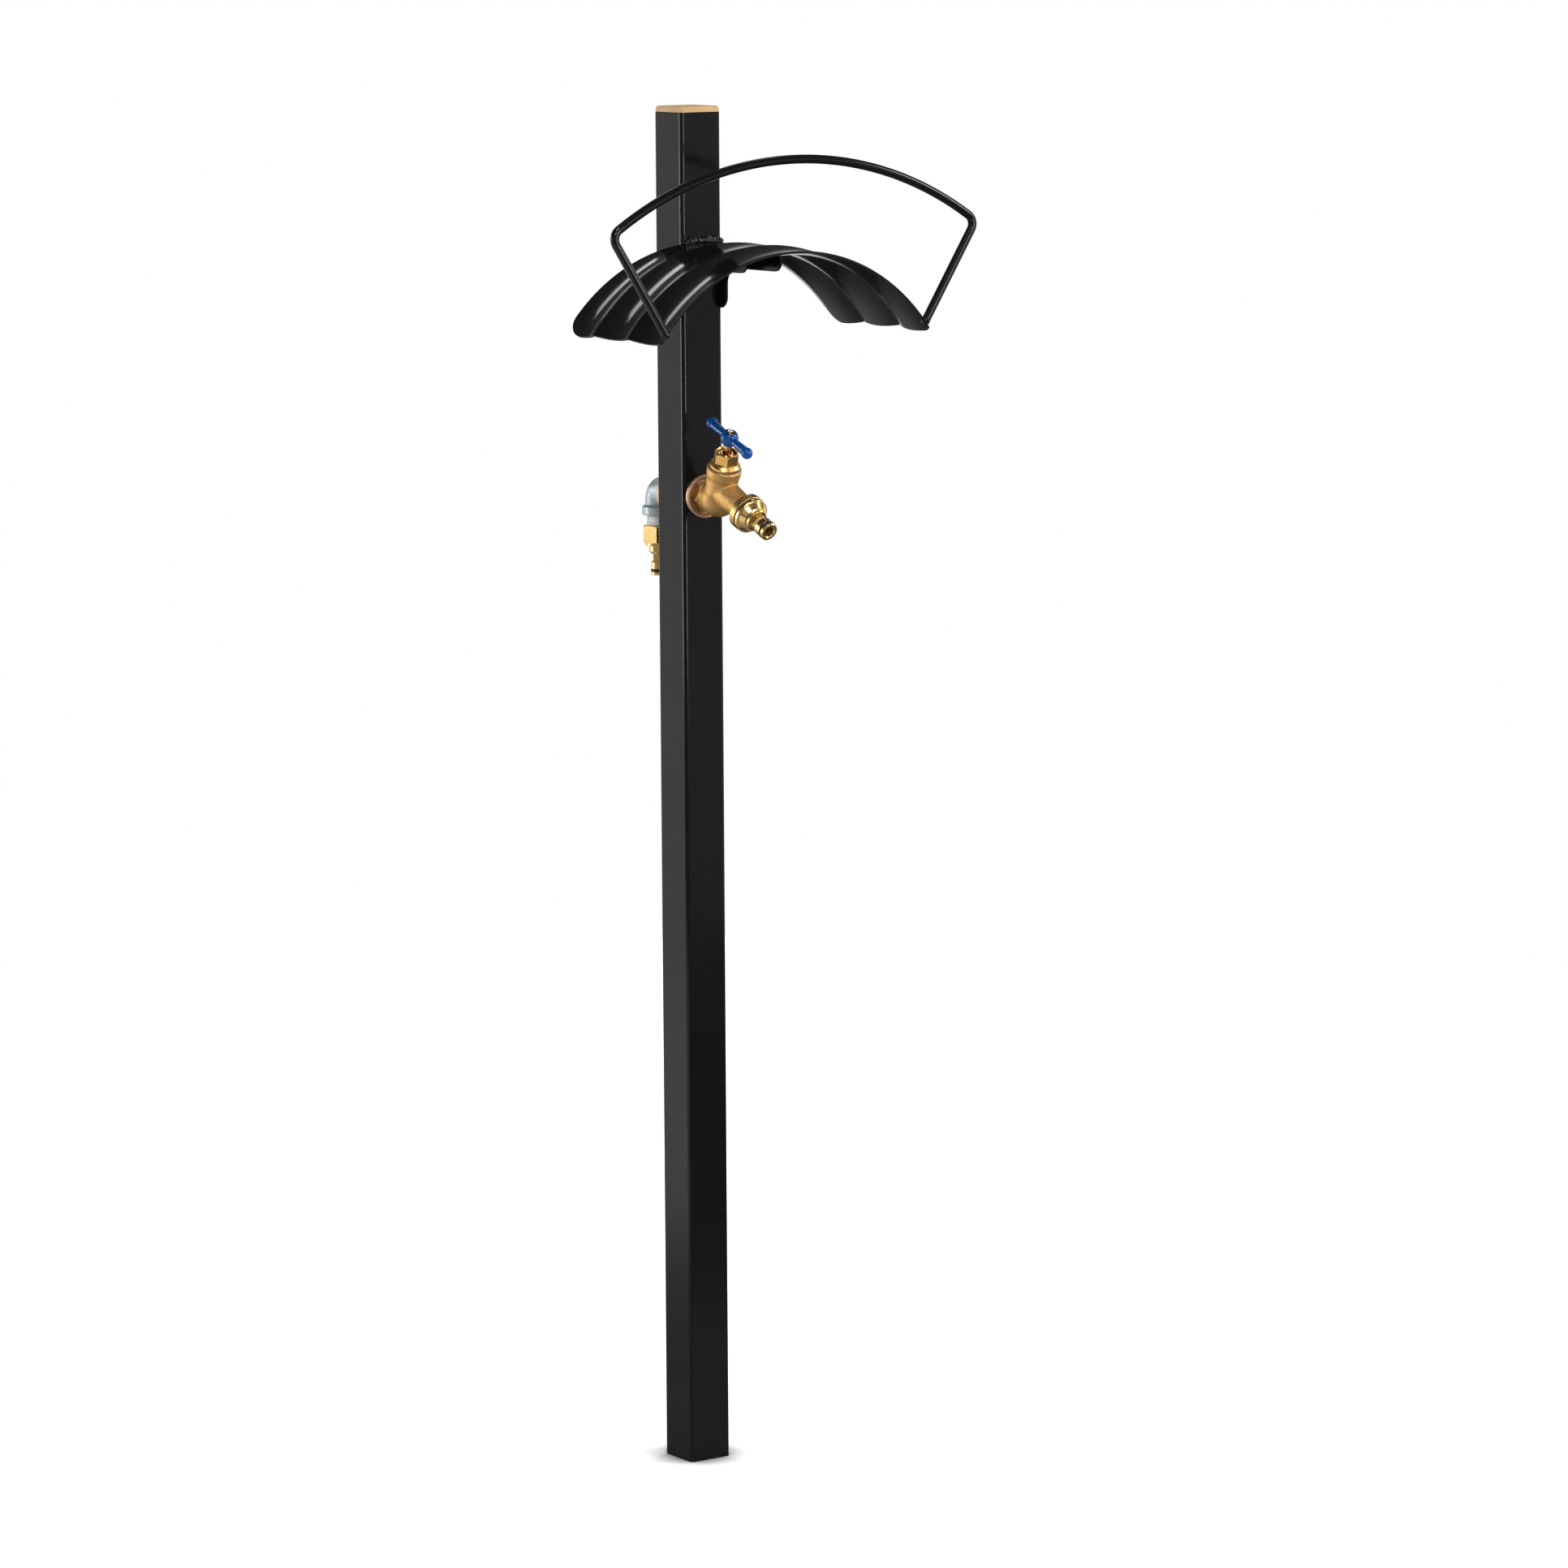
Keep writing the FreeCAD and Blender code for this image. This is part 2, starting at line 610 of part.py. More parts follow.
# Bracket: folded channel on the post's front face, with an arm under the saddle
def make_bracket():
    body = new_body("bracket")
    reach = "(" + post_front + " + sizes.armReach)"
    depth = "(" + post_front + " + sizes.gussetDepth)"
    profile = new_sketch(body, "bracket_profile", "YZ_Plane")
    draw_outline(profile, [
        ("-" + post_front, bracket_bottom),
        ("-" + post_front, saddle_top + " + sizes.cutMargin"),
        ("-" + reach, saddle_top + " + sizes.cutMargin"),
        ("-" + reach, arm_underside + " + sizes.armNose", "sizes.armNose", 1),
        ("-(" + reach + " - sizes.armNose)", arm_underside),
        ("-(" + depth + " + sizes.gussetBlend)", arm_underside, "sizes.gussetBlend", -1),
        ("-" + depth, arm_underside + " - sizes.gussetBlend"),
        ("-" + depth, bracket_bottom + " + sizes.gussetRound", "sizes.gussetRound", 1),
        ("-(" + depth + " - sizes.gussetRound)", bracket_bottom),
    ])
    block = body.newObject("PartDesign::Pad", "bracket_block")
    block.Profile = profile
    block.setExpression("Length", bracket_width)
    block.Midplane = True
    web = "(" + post_front + " + sizes.bracketSheet)"
    hollow = new_sketch(body, "bracket_hollow", "YZ_Plane")
    draw_outline(hollow, [
        ("-" + web, bracket_bottom + " - sizes.cutMargin"),
        ("-" + web, saddle_top + " + 2 * sizes.cutMargin"),
        ("-(" + reach + " + sizes.cutMargin)", saddle_top + " + 2 * sizes.cutMargin"),
        ("-(" + reach + " + sizes.cutMargin)", bracket_bottom + " - sizes.cutMargin"),
    ])
    pocket = body.newObject("PartDesign::Pocket", "bracket_channel")
    pocket.Profile = hollow
    pocket.setExpression("Length", bracket_width + " - 2 * sizes.bracketSheet")
    pocket.Midplane = True
    return keep("holder_bracket", cut("bracket_trimmed", body, make_underside()))


# Guard rod: one bent bar, half of it swept and mirrored, standing on the saddle's front corners
def make_guard():
    body = new_body("guard")
    hoop_centre = Vector(0, size(hoop_top + " - sizes.hoopRadius"), 0)
    hoop = size("sizes.hoopRadius")
    bend = size("sizes.bendRadius")
    slope = math.radians(size("sizes.legAngle"))
    foot_across = front_rim + " * sin(" + foot_angle + ") - sizes.rodDiameter * cos(sizes.legAngle)"
    foot_up = (arch_centre + " + " + front_rim + " * cos(" + foot_angle + ")"
               + " - sizes.rodDiameter * sin(sizes.legAngle)")
    foot = Vector(size(foot_across), size(foot_up), 0)

    # The bend's centre lies one bend radius inside the leg and inside the hoop
    leg = Vector(math.cos(slope), math.sin(slope), 0)
    inward = Vector(-leg.y, leg.x, 0)
    offset = foot + inward * bend - hoop_centre
    along = -offset.dot(leg) + math.sqrt((hoop - bend) ** 2 - offset.dot(offset) + offset.dot(leg) ** 2)
    bend_centre = foot + leg * along + inward * bend
    leg_top = foot + leg * along
    outward = (bend_centre - hoop_centre).normalize()
    hoop_end = bend_centre + outward * bend

    path = new_sketch(body, "guard_path", "XZ_Plane", rim_plane)
    normal = Vector(0, 0, 1)
    hoop_angle = math.atan2(outward.y, outward.x)
    hoop_circle = Part.Circle(hoop_centre, normal, hoop)
    crown = path.addGeometry(Part.ArcOfCircle(hoop_circle, hoop_angle, math.pi / 2), False)
    bend_circle = Part.Circle(bend_centre, normal, bend)
    leg_angle = math.atan2(leg_top.y - bend_centre.y, leg_top.x - bend_centre.x)
    elbow = path.addGeometry(Part.ArcOfCircle(bend_circle, leg_angle, hoop_angle), False)
    straight = path.addGeometry(Part.LineSegment(leg_top, foot), False)
    path.addConstraint(Sketcher.Constraint("PointOnObject", crown, 2, -2))
    path.addConstraint(Sketcher.Constraint("PointOnObject", crown, 3, -2))
    bind(path, "DistanceY", (-1, 1, crown, 2), hoop_top)
    bind(path, "Radius", (crown,), "sizes.hoopRadius")
    path.addConstraint(Sketcher.Constraint("Tangent", crown, 1, elbow, 2))
    bind(path, "Radius", (elbow,), "sizes.bendRadius")
    path.addConstraint(Sketcher.Constraint("Tangent", elbow, 1, straight, 1))
    pin(path, straight, 2, foot_across, foot_up)
    section = new_sketch(body, "guard_section", "YZ_Plane")
    draw_circle(section, "-" + rim_plane, hoop_top, "sizes.rodDiameter / 2")
    sweep = body.newObject("PartDesign::AdditivePipe", "guard_half")
    sweep.Profile = section
    sweep.Spine = (path, ["Edge1", "Edge2", "Edge3"])
    other_half = body.newObject("PartDesign::Mirrored", "guard_mirrored")
    other_half.Originals = [sweep]
    other_half.MirrorPlane = (origin_plane(body, "YZ_Plane"), [""])
    body.Tip = other_half
    return body


def make_guard_and_welds():
    across_rim = at("0", "-" + rim_plane, arch_centre, "0", "90")
    reach = "(sizes.rodWeldRadius + sizes.cutMargin)"
    rod_bed = cylinder("rod_bed", across_rim, front_rim, "-" + reach, reach)
    rod = keep("guard_rod", cut("guard_trimmed", make_guard(), rod_bed))
    blobs = []
    for side, sign in (("left", "-"), ("right", "")):
        foot = at(sign + "(" + front_rim + " * sin(" + foot_angle + "))", "-" + rim_plane,
                  arch_centre + " + " + front_rim + " * cos(" + foot_angle + ")")
        blobs.append(ball("weld_blob_" + side, foot, "sizes.rodWeldRadius", "0"))
    standing = cut("blobs_on_sheet", fuse("weld_blobs", blobs), rod_bed)
    keep("rod_welds", cut("blobs_round_rod", standing, rod))


# Weld beads that hold bracket and saddle to the post
def make_beads(post, bracket, saddle):
    root = back_rim + " - sizes.sheetThickness / 2"
    outline = [
        ("-" + post_front, root),
        ("-" + post_front, back_rim + " + sizes.saddleBead"),
        ("-(" + post_front + " + sizes.saddleBead)", root),
    ]
    outline[1] += ("sizes.saddleBeadRound", 1)
    body, arch = arch_body("saddle_bead", outline, "sizes.saddleBeadAngle")
    keep("saddle_weld", cut("saddle_bead_trimmed", body, saddle))

    beads = []
    for side, sign in (("left", "-"), ("right", "")):
        corner = at(sign + bracket_width + " / 2", "-(" + post_front + " + sizes.beadRadius / 2)",
                    bracket_bottom)
        beads.append(cylinder("bracket_bead_" + side, corner, "sizes.beadRadius", "sizes.beadStart",
                              "sizes.bracketDrop - sizes.armDrop + sizes.beadOverArm"))
    outside = cut("beads_outside", fuse("bracket_beads", beads), bracket)
    keep("bracket_welds", cut("beads_on_post", outside, post))


# Heights along the spindle, upwards from the point where its axis crosses the inlet's
seat_top = "(sizes.chamberFloor + sizes.seatHeight)"
washer_bottom = "(" + seat_top + " + sizes.washerGap)"
washer_top = "(" + washer_bottom + " + sizes.washerThickness)"
jumper_top = "(" + washer_top + " + sizes.jumperThickness)"
pin_top = "(" + jumper_top + " + sizes.jumperPinLength)"
spindle_bottom = "(" + jumper_top + " + sizes.washerGap)"
bonnet_seat = "(sizes.collarTop + sizes.sealThickness)"
bonnet_bottom = "(" + bonnet_seat + " - sizes.bonnetThread)"
hexagon_bottom = "(" + bonnet_seat + " + sizes.bonnetFlangeLength)"
bonnet_top = "(" + hexagon_bottom + " + sizes.bonnetHexLength)"
recess_floor = "(" + bonnet_top + " - sizes.recessDepth)"
packing_bottom = "(" + hexagon_bottom + " + sizes.packingFloor)"
packing_top = "(" + packing_bottom + " + sizes.packingLength)"
gland_top = "(" + packing_top + " + sizes.glandLength)"
thread_bottom = "(" + bonnet_bottom + " - sizes.spindleOverhang)"
thread_top = "(" + thread_bottom + " + sizes.spindleThreadLength)"
hub_bottom = "(" + bonnet_top + " + sizes.handleLift)"
hub_depth = "sqrt(sizes.hubRadius^2 - (sizes.stemRadius + sizes.hubFoot)^2)"
hub_rise = "sqrt(sizes.hubRadius^2 - (sizes.hubRecess + sizes.hubRim)^2)"
hub_centre = "(" + hub_bottom + " + " + hub_depth + ")"
hub_top = "(" + hub_centre + " + " + hub_rise + ")"
hub_floor = "(" + hub_top + " - sizes.hubRecessDepth)"
square_bottom = "(" + hub_bottom + " + sizes.stemRadius)"
square_top = "(" + hub_floor + " - sizes.hubRoof)"

# Distances along the spout, from the spindle's axis
spout_end = "(sizes.spoutLength + sizes.spoutThread)"
spigot_start = "(" + spout_end + " + sizes.gasketThickness)"
collar_start = "(sizes.spoutLength + sizes.outletCollarInset)"
collar_end = "(" + collar_start + " + sizes.outletCollarLength)"
spigot_face = "(" + collar_end + " + sizes.outletGap)"
spigot_front = "(" + spigot_face + " + sizes.spigotFlangeLength)"
cone_end = "(" + spigot_front + " + sizes.coneLength)"
band_start = "(" + cone_end + " + sizes.coneStep)"
outlet_nose = "(" + band_start + " + sizes.conePlainLength)"

# Distances down from the elbow's lower face
hexagon_end = "(sizes.tapeLength + sizes.adapterHexLength)"
step_end = "(" + hexagon_end + " + sizes.adapterStep)"
band_end = "(" + step_end + " + sizes.adapterBandLength)"
inlet_nose = "(" + band_end + " + sizes.adapterCone)"
screwed_in = "(sizes.elbowArm - sizes.threadRadius - sizes.elbowSpace)"

# Radii that several pieces share
branch_radius = "(" + socket_radius + " + sizes.branchWall)"
hexagon_corner = "(sizes.inletHexAcross / 2 / cos(30))"
flange_radius = "(" + hexagon_corner + " + sizes.flangeMargin)"
elbow_radius = "(" + socket_radius + " + sizes.elbowWall)"
groove_radius = "(sizes.noseRadius - sizes.grooveDepth)"
nose_bore = "(" + groove_radius + " - sizes.noseWall)"
stem_hole = "(sizes.stemRadius + sizes.turningGap)"
inlet_end = "(sizes.tapReach - " + post_front + ")"


# Wall flanges: dished discs with a raised rim, in front of the post and behind it
def make_wall_flanges():
    discs = []
    for name, place in (("front_flange", inlet_frame), ("rear_flange", back_frame)):
        discs.append(turned(name, place, [
            (socket_radius, "0"),
            (flange_radius + " - sizes.edgeBreak", "0"),
            (flange_radius, "sizes.edgeBreak"),
            (flange_radius, "sizes.flangeRim - 2 * sizes.edgeBreak"),
            (flange_radius + " - 2 * sizes.edgeBreak", "sizes.flangeRim"),
            (flange_radius + " - 3 * sizes.edgeBreak", "sizes.flangeRim"),
            (flange_radius + " - sizes.flangeLip", "sizes.flangeSeat + sizes.edgeBreak"),
            (flange_radius + " - sizes.flangeLip - 2 * sizes.edgeBreak", "sizes.flangeSeat"),
            (socket_radius, "sizes.flangeSeat"),
        ]))
    keep("wall_flange", fuse("wall_flanges", discs))


# Tap body: one casting with inlet, valve chamber, seat and spout
def make_tap_body():
    collar_bottom = "(sizes.collarTop - sizes.collarLength)"
    slope_bottom = "(" + collar_bottom + " - sizes.collarSlope)"
    collar_radius = "(" + branch_radius + " + sizes.collarStep)"
    collar = turned("collar", tap_frame, [
        ("0", slope_bottom),
        (branch_radius, slope_bottom),
        (collar_radius, collar_bottom),
        (collar_radius, "sizes.collarTop - 2 * sizes.edgeBreak"),
        (collar_radius + " - 2 * sizes.edgeBreak", "sizes.collarTop"),
        ("0", "sizes.collarTop"),
    ])
    casting = fuse("casting", [
        cylinder("branch", tap_frame, branch_radius, "0", collar_bottom),
        collar,
        ball("belly", tap_frame, "sizes.bellyRadius", "0"),
        cylinder("inlet", inlet_frame, "sizes.inletRadius", "sizes.flangeSeat", inlet_end),
        nut_hexagon("inlet_hexagon", inlet_frame, "sizes.inletHexAcross", "sizes.flangeSeat",
                    "sizes.flangeSeat + sizes.inletHexLength"),
        cylinder("tail", inlet_frame, "sizes.threadRadius", "-sizes.tailLength", inlet_end),
        cone("spout", spout_frame, "sizes.spoutRoot", "sizes.spoutNeck", "0", "sizes.spoutLength"),
        cylinder("spout_thread", spout_frame, "sizes.threadRadius", "sizes.spoutLength" + short_of,
                 spout_end),
    ])
    seat_rim = "(sizes.seatRadius + sizes.seatWall)"
    chamber = cylinder("chamber", tap_frame, socket_radius, "sizes.chamberFloor",
                       "sizes.collarTop" + past)
    seat = cylinder("seat", tap_frame, seat_rim, "sizes.chamberFloor" + short_of, seat_top)
    with_seat = fuse("casting_with_seat", [cut("casting_with_chamber", casting, chamber), seat])
    passages = fuse("passages", [
        cylinder("seat_hole", tap_frame, "sizes.seatRadius", "-sizes.seatRadius", seat_top + past),
        cylinder("inlet_passage", inlet_frame, "sizes.inletBore", "-sizes.tailLength" + short_of,
                 inlet_end),
        cylinder("spout_passage", spout_frame, "sizes.spoutBore", seat_rim + past, spout_end + past),
    ])
    keep("tap_body", cut("casting_bored", with_seat, passages))


# Bonnet: screws into the casting, carries the spindle's thread and the gland
def make_bonnet():
    recess_radius = "(sizes.bonnetHexAcross / 2 - sizes.recessWall)"
    thread_hole = "(sizes.spindleThread + sizes.turningGap)"
    lower = turned("bonnet_lower", tap_frame, [
        ("0", bonnet_bottom),
        ("sizes.threadRadius - sizes.edgeBreak", bonnet_bottom),
        ("sizes.threadRadius", bonnet_bottom + " + sizes.edgeBreak"),
        ("sizes.threadRadius", bonnet_seat),
        ("sizes.bonnetFlange", bonnet_seat),
        ("sizes.bonnetFlange", bonnet_seat + " + sizes.bonnetFlangeRim"),
        ("sizes.bonnetHexAcross / 2 + sizes.bonnetCone", hexagon_bottom),
        ("0", hexagon_bottom),
    ])
    hexagon = nut_hexagon("bonnet_hexagon", tap_frame, "sizes.bonnetHexAcross",
                          hexagon_bottom + short_of, bonnet_top)
    hollow = turned("bonnet_hollow", tap_frame, [
        ("0", bonnet_bottom + short_of),
        (thread_hole, bonnet_bottom + short_of),
        (thread_hole, hexagon_bottom),
        (stem_hole, hexagon_bottom),
        (stem_hole, packing_bottom),
        ("sizes.glandRadius", packing_bottom),
        ("sizes.glandRadius", recess_floor),
        (recess_radius, recess_floor),
        (recess_radius, bonnet_top + " - sizes.edgeBreak"),
        (recess_radius + " + sizes.edgeBreak", bonnet_top),
        (recess_radius + " + sizes.edgeBreak", bonnet_top + past),
        ("0", bonnet_top + past),
    ])
    keep("bonnet", cut("bonnet_bored", fuse("bonnet_solid", [lower, hexagon]), hollow))
    keep("bonnet_seal", ring("bonnet_seal", tap_frame, "sizes.bonnetFlange", "sizes.threadRadius",
                             "sizes.collarTop", bonnet_seat))
    keep("gland_packing", ring("gland_packing", tap_frame, "sizes.glandRadius", stem_hole,
                               packing_bottom, packing_top))
    keep("gland_nut", turned("gland_nut", tap_frame, [
        (stem_hole, packing_top),
        ("sizes.glandRadius", packing_top),
        ("sizes.glandRadius", gland_top + " - sizes.edgeBreak"),
        ("sizes.glandRadius - sizes.edgeBreak", gland_top),
        (stem_hole + " + sizes.edgeBreak", gland_top),
        (stem_hole, gland_top + " - sizes.edgeBreak"),
    ]))


# Valve: jumper with its rubber washer and nut, which rises but doesn't turn
def make_valve():
    nut_bottom = "(" + washer_bottom + " - sizes.jumperNutThickness)"
    stud_bottom = "(" + nut_bottom + " - sizes.edgeBreak)"
    keep("jumper_valve", turned("jumper", tap_frame, [
        ("0", stud_bottom),
        ("sizes.jumperStud", stud_bottom),
        ("sizes.jumperStud", washer_top),
        ("sizes.jumperRadius", washer_top),
        ("sizes.jumperRadius", jumper_top),
        ("sizes.jumperPin", jumper_top),
        ("sizes.jumperPin", pin_top),
        ("0", pin_top),
    ]))
    keep("jumper_washer", ring("jumper_washer", tap_frame, "sizes.washerRadius", "sizes.jumperStud",
                               washer_bottom, washer_top))
    nut = prism("jumper_nut_prism", tap_frame, "sizes.jumperNutAcross", nut_bottom, washer_bottom)
    hole = cylinder("jumper_nut_hole", tap_frame, "sizes.jumperStud", nut_bottom + short_of,
                    washer_bottom + past)
    keep("jumper_nut", cut("jumper_nut_bored", nut, hole))


# Spindle: plain foot over the jumper's pin, thread, stem and a square for the handle
def make_spindle():
    shaft = turned("shaft", tap_frame, [
        ("0", spindle_bottom),
        ("sizes.spindleFoot", spindle_bottom),
        ("sizes.spindleFoot", thread_bottom),
        ("sizes.spindleThread", thread_bottom),
        ("sizes.spindleThread", thread_top),
        ("sizes.stemRadius", thread_top),
        ("sizes.stemRadius", square_bottom),
        ("0", square_bottom),
    ])
    square = bar("spindle_square", tap_frame, "sizes.squareAcross", "sizes.squareAcross",
                 square_bottom + short_of, square_top)
    holes = fuse("spindle_holes", [
        cylinder("pin_hole", tap_frame, "sizes.jumperPin + sizes.turningGap",
                 spindle_bottom + short_of, pin_top + past),
        cylinder("screw_hole", tap_frame, "sizes.screwShank",
                 hub_floor + " - sizes.screwLength" + short_of, square_top + past),
    ])
    keep("spindle", cut("spindle_bored", fuse("spindle_solid", [shaft, square]), holes))


# Handle: ball hub with two tapered arms that end in balls, held by a screw on a washer
def make_handle():
    hub_frame = moved(tap_frame, hub_centre)
    hub = turned("hub", hub_frame, [
        ("0", "-" + hub_depth),
        ("sizes.stemRadius + sizes.hubFoot", "-" + hub_depth, "sizes.hubRadius", 1),
        ("sizes.hubRecess + sizes.hubRim", hub_rise),
        ("0", hub_rise),
    ])
    solids = [hub]
    for side, turn in (("front", "90"), ("rear", "-90")):
        arm = hub_frame + " * " + at("0", "0", "0", "0", turn)
        solids.append(cone("arm_" + side, arm, "sizes.armThin", "sizes.armThick", "sizes.armStart",
                           "sizes.armLength"))
        solids.append(ball("arm_ball_" + side, arm, "sizes.endBall", "sizes.armLength"))
    socket = fuse("handle_socket", [
        cylinder("stem_hole", tap_frame, "sizes.stemRadius", hub_bottom + short_of, square_bottom),
        bar("square_hole", tap_frame, "sizes.squareAcross", "sizes.squareAcross", hub_bottom,
            square_top),
        cylinder("handle_screw_hole", tap_frame, "sizes.screwShank", hub_bottom, hub_top + past),
        cylinder("screw_recess", tap_frame, "sizes.hubRecess", hub_floor, hub_top + past),
    ])
    keep("handle", cut("handle_bored", fuse("handle_solid", solids), socket))

    head_bottom = "(" + hub_floor + " + sizes.screwWasherThickness)"
    head_top = "(" + head_bottom + " + sizes.screwHeadHeight)"
    screw = turned("screw", tap_frame, [
        ("0", hub_floor + " - sizes.screwLength"),
        ("sizes.screwShank", hub_floor + " - sizes.screwLength"),
        ("sizes.screwShank", head_bottom),
        ("sizes.screwHead", head_bottom),
        ("sizes.screwHead", head_bottom + " + sizes.screwHeadHeight / 2", "sizes.screwHead", 1),
        ("sizes.screwHead / 2", head_top),
        ("0", head_top),
    ])
    slots = []
    for name, width, depth in (("cross_one", "sizes.crossSpan", "sizes.crossWidth"),
                               ("cross_two", "sizes.crossWidth", "sizes.crossSpan")):
        slots.append(bar(name, tap_frame, width, depth, head_top + " - sizes.crossDepth",
                         head_top + past))
    keep("handle_screw", cut("screw_with_cross", screw, fuse("cross_recess", slots)))
    keep("screw_washer", ring("screw_washer", tap_frame, "sizes.hubRecess - sizes.screwWasherPlay",
                              "sizes.screwShank", hub_floor, head_bottom))


# Quick coupling nose: hexagonal neck, land, groove with its ring, and a chamfered tip
ring_width = "(2 * sizes.ringSection + sizes.ringPlay)"
groove_start = "(sizes.noseNeckLength + sizes.noseShoulder)"
groove_end = "(" + groove_start + " + " + ring_width + ")"
nose_length = "(" + groove_end + " + sizes.noseTip)"


def nose_solids(name, place, start):
    frame = moved(place, start)
    lands = turned(name + "_lands", frame, [
        ("0", "sizes.noseNeckLength"),
        ("sizes.noseRadius - sizes.noseChamfer", "sizes.noseNeckLength"),
        ("sizes.noseRadius", "sizes.noseNeckLength + sizes.noseChamfer"),
        ("sizes.noseRadius", groove_start),
        (groove_radius, groove_start),
        (groove_radius, groove_end),
        ("sizes.noseRadius", groove_end),
        ("sizes.noseRadius", nose_length + " - sizes.noseChamfer"),
        ("sizes.noseRadius - sizes.noseChamfer", nose_length),
        ("0", nose_length),
    ])
    neck = prism(name + "_neck", frame, "sizes.noseNeckAcross", "-sizes.overlap",
                 "sizes.noseNeckLength" + past)
    return [lands, neck]


def nose_passage(name, place, bottom, start):
    """Water bore from bottom to the nose's mouth, opened out at the mouth."""
    mouth = "(" + start + " + " + nose_length + ")"
    return turned(name, place, [
        ("0", bottom),
        (nose_bore, bottom),
        (nose_bore, mouth + " - sizes.noseChamfer"),
        (nose_bore + " + sizes.noseChamfer", mouth),
        (nose_bore + " + sizes.noseChamfer", mouth + past),
        ("0", mouth + past),
    ])


def nose_ring(label, place, start):
    middle = start + " + " + groove_start + " + " + ring_width + " / 2"
    solid = doc.addObject("Part::Torus", label + "_torus")
    solid.setExpression("Radius1", groove_radius + " + sizes.ringSection")
    solid.setExpression("Radius2", "sizes.ringSection")
    solid.setExpression("Placement", moved(place, middle))
    keep(label, solid)


# Outlet: collar on the spout's thread and a coupling spigot screwed into it
def make_outlet():
    keep("outlet_collar", turned("outlet_collar", spout_frame, [
        (socket_radius, collar_start),
        ("sizes.outletCollar - 3 * sizes.edgeBreak", collar_start),
        ("sizes.outletCollar", collar_start + " + 3 * sizes.edgeBreak"),
        ("sizes.outletCollar", collar_end + " - sizes.edgeBreak"),
        ("sizes.outletCollar - sizes.edgeBreak", collar_end),
        (socket_radius, collar_end),
    ]))
    keep("outlet_gasket", ring("outlet_gasket", spout_frame, "sizes.threadRadius", "sizes.gasketBore",
                               spout_end, spigot_start))
    shape = turned("spigot_flange", spout_frame, [
        ("0", spigot_start),
        ("sizes.threadRadius", spigot_start),
        ("sizes.threadRadius", spigot_face),
        ("sizes.spigotFlange - sizes.edgeBreak", spigot_face),
        ("sizes.spigotFlange", spigot_face + " + sizes.edgeBreak"),
        ("sizes.spigotFlange", spigot_front + " - sizes.spigotEdge", "sizes.spigotEdge", 1),
        ("sizes.spigotFlange - sizes.spigotEdge", spigot_front),
        ("sizes.coneRoot", cone_end),
        ("sizes.conePlain", band_start),
        ("sizes.conePlain", outlet_nose + " - sizes.edgeBreak"),
        ("sizes.conePlain - sizes.edgeBreak", outlet_nose),
        ("0", outlet_nose),
    ])
    solids = [shape] + nose_solids("outlet_nose", spout_frame, outlet_nose)
    passage = nose_passage("outlet_passage", spout_frame, spigot_start + short_of, outlet_nose)
    keep("outlet_spigot", cut("spigot_bored", fuse("spigot_solid", solids), passage))
    nose_ring("outlet_o_ring", spout_frame, outlet_nose)


# Feed: pipe through the post, held by a nut in the rear flange
def make_pipe():
    socket_floor = "-(sizes.tailLength + sizes.pipeSpare)"
    pipe_end = "-(sizes.postWidth + " + rear_stack + " + " + screwed_in + ")"
    keep("through_pipe", turned("through_pipe", inlet_frame, [
        ("sizes.pipeBore", pipe_end),
        ("sizes.threadRadius", pipe_end),
        ("sizes.threadRadius", "-sizes.postWidth"),
        (pipe_radius, "-sizes.postWidth"),
        (pipe_radius, "0"),
        (socket_radius, "0"),
        (socket_radius, socket_floor),
        ("sizes.pipeBore", socket_floor),
    ]))
    nut = nut_hexagon("backnut", back_frame, "sizes.inletHexAcross", "sizes.flangeSeat", rear_stack)
    hole = cylinder("backnut_hole", back_frame, socket_radius, "sizes.flangeSeat" + short_of,
                    rear_stack + past)
    keep("pipe_backnut", cut("backnut_bored", nut, hole))


# Elbow with a bead round either mouth
def make_elbow():
    bead_radius = "(" + elbow_radius + " + sizes.elbowBead)"
    lower_mouth = at("0", elbow_centre, tap_height + " - sizes.elbowArm")
    outside = []
    hollow = []
    for name, place in (("rear_arm", elbow_frame), ("lower_arm", lower_mouth)):
        outside.append(cylinder(name, place, elbow_radius, "0", "sizes.elbowArm"))
        outside.append(turned(name + "_bead", place, [
            ("0", "0"),
            (bead_radius + " - sizes.edgeBreak", "0"),
            (bead_radius, "sizes.edgeBreak"),
            (bead_radius, "sizes.elbowBeadLength - 3 * sizes.edgeBreak"),
            (elbow_radius, "sizes.elbowBeadLength"),
            ("0", "sizes.elbowBeadLength"),
        ]))
        hollow.append(cylinder(name + "_socket", place, socket_radius, "-sizes.overlap",
                               screwed_in + past))
        hollow.append(cylinder(name + "_passage", place, "sizes.elbowBore", "0", "sizes.elbowArm"))
    outside.append(ball("elbow_corner", elbow_frame, elbow_radius, "sizes.elbowArm"))
    hollow.append(ball("elbow_turn", elbow_frame, "sizes.elbowBore", "sizes.elbowArm"))
    keep("elbow", cut("elbow_bored", fuse("elbow_solid", outside), fuse("elbow_hollow", hollow)))


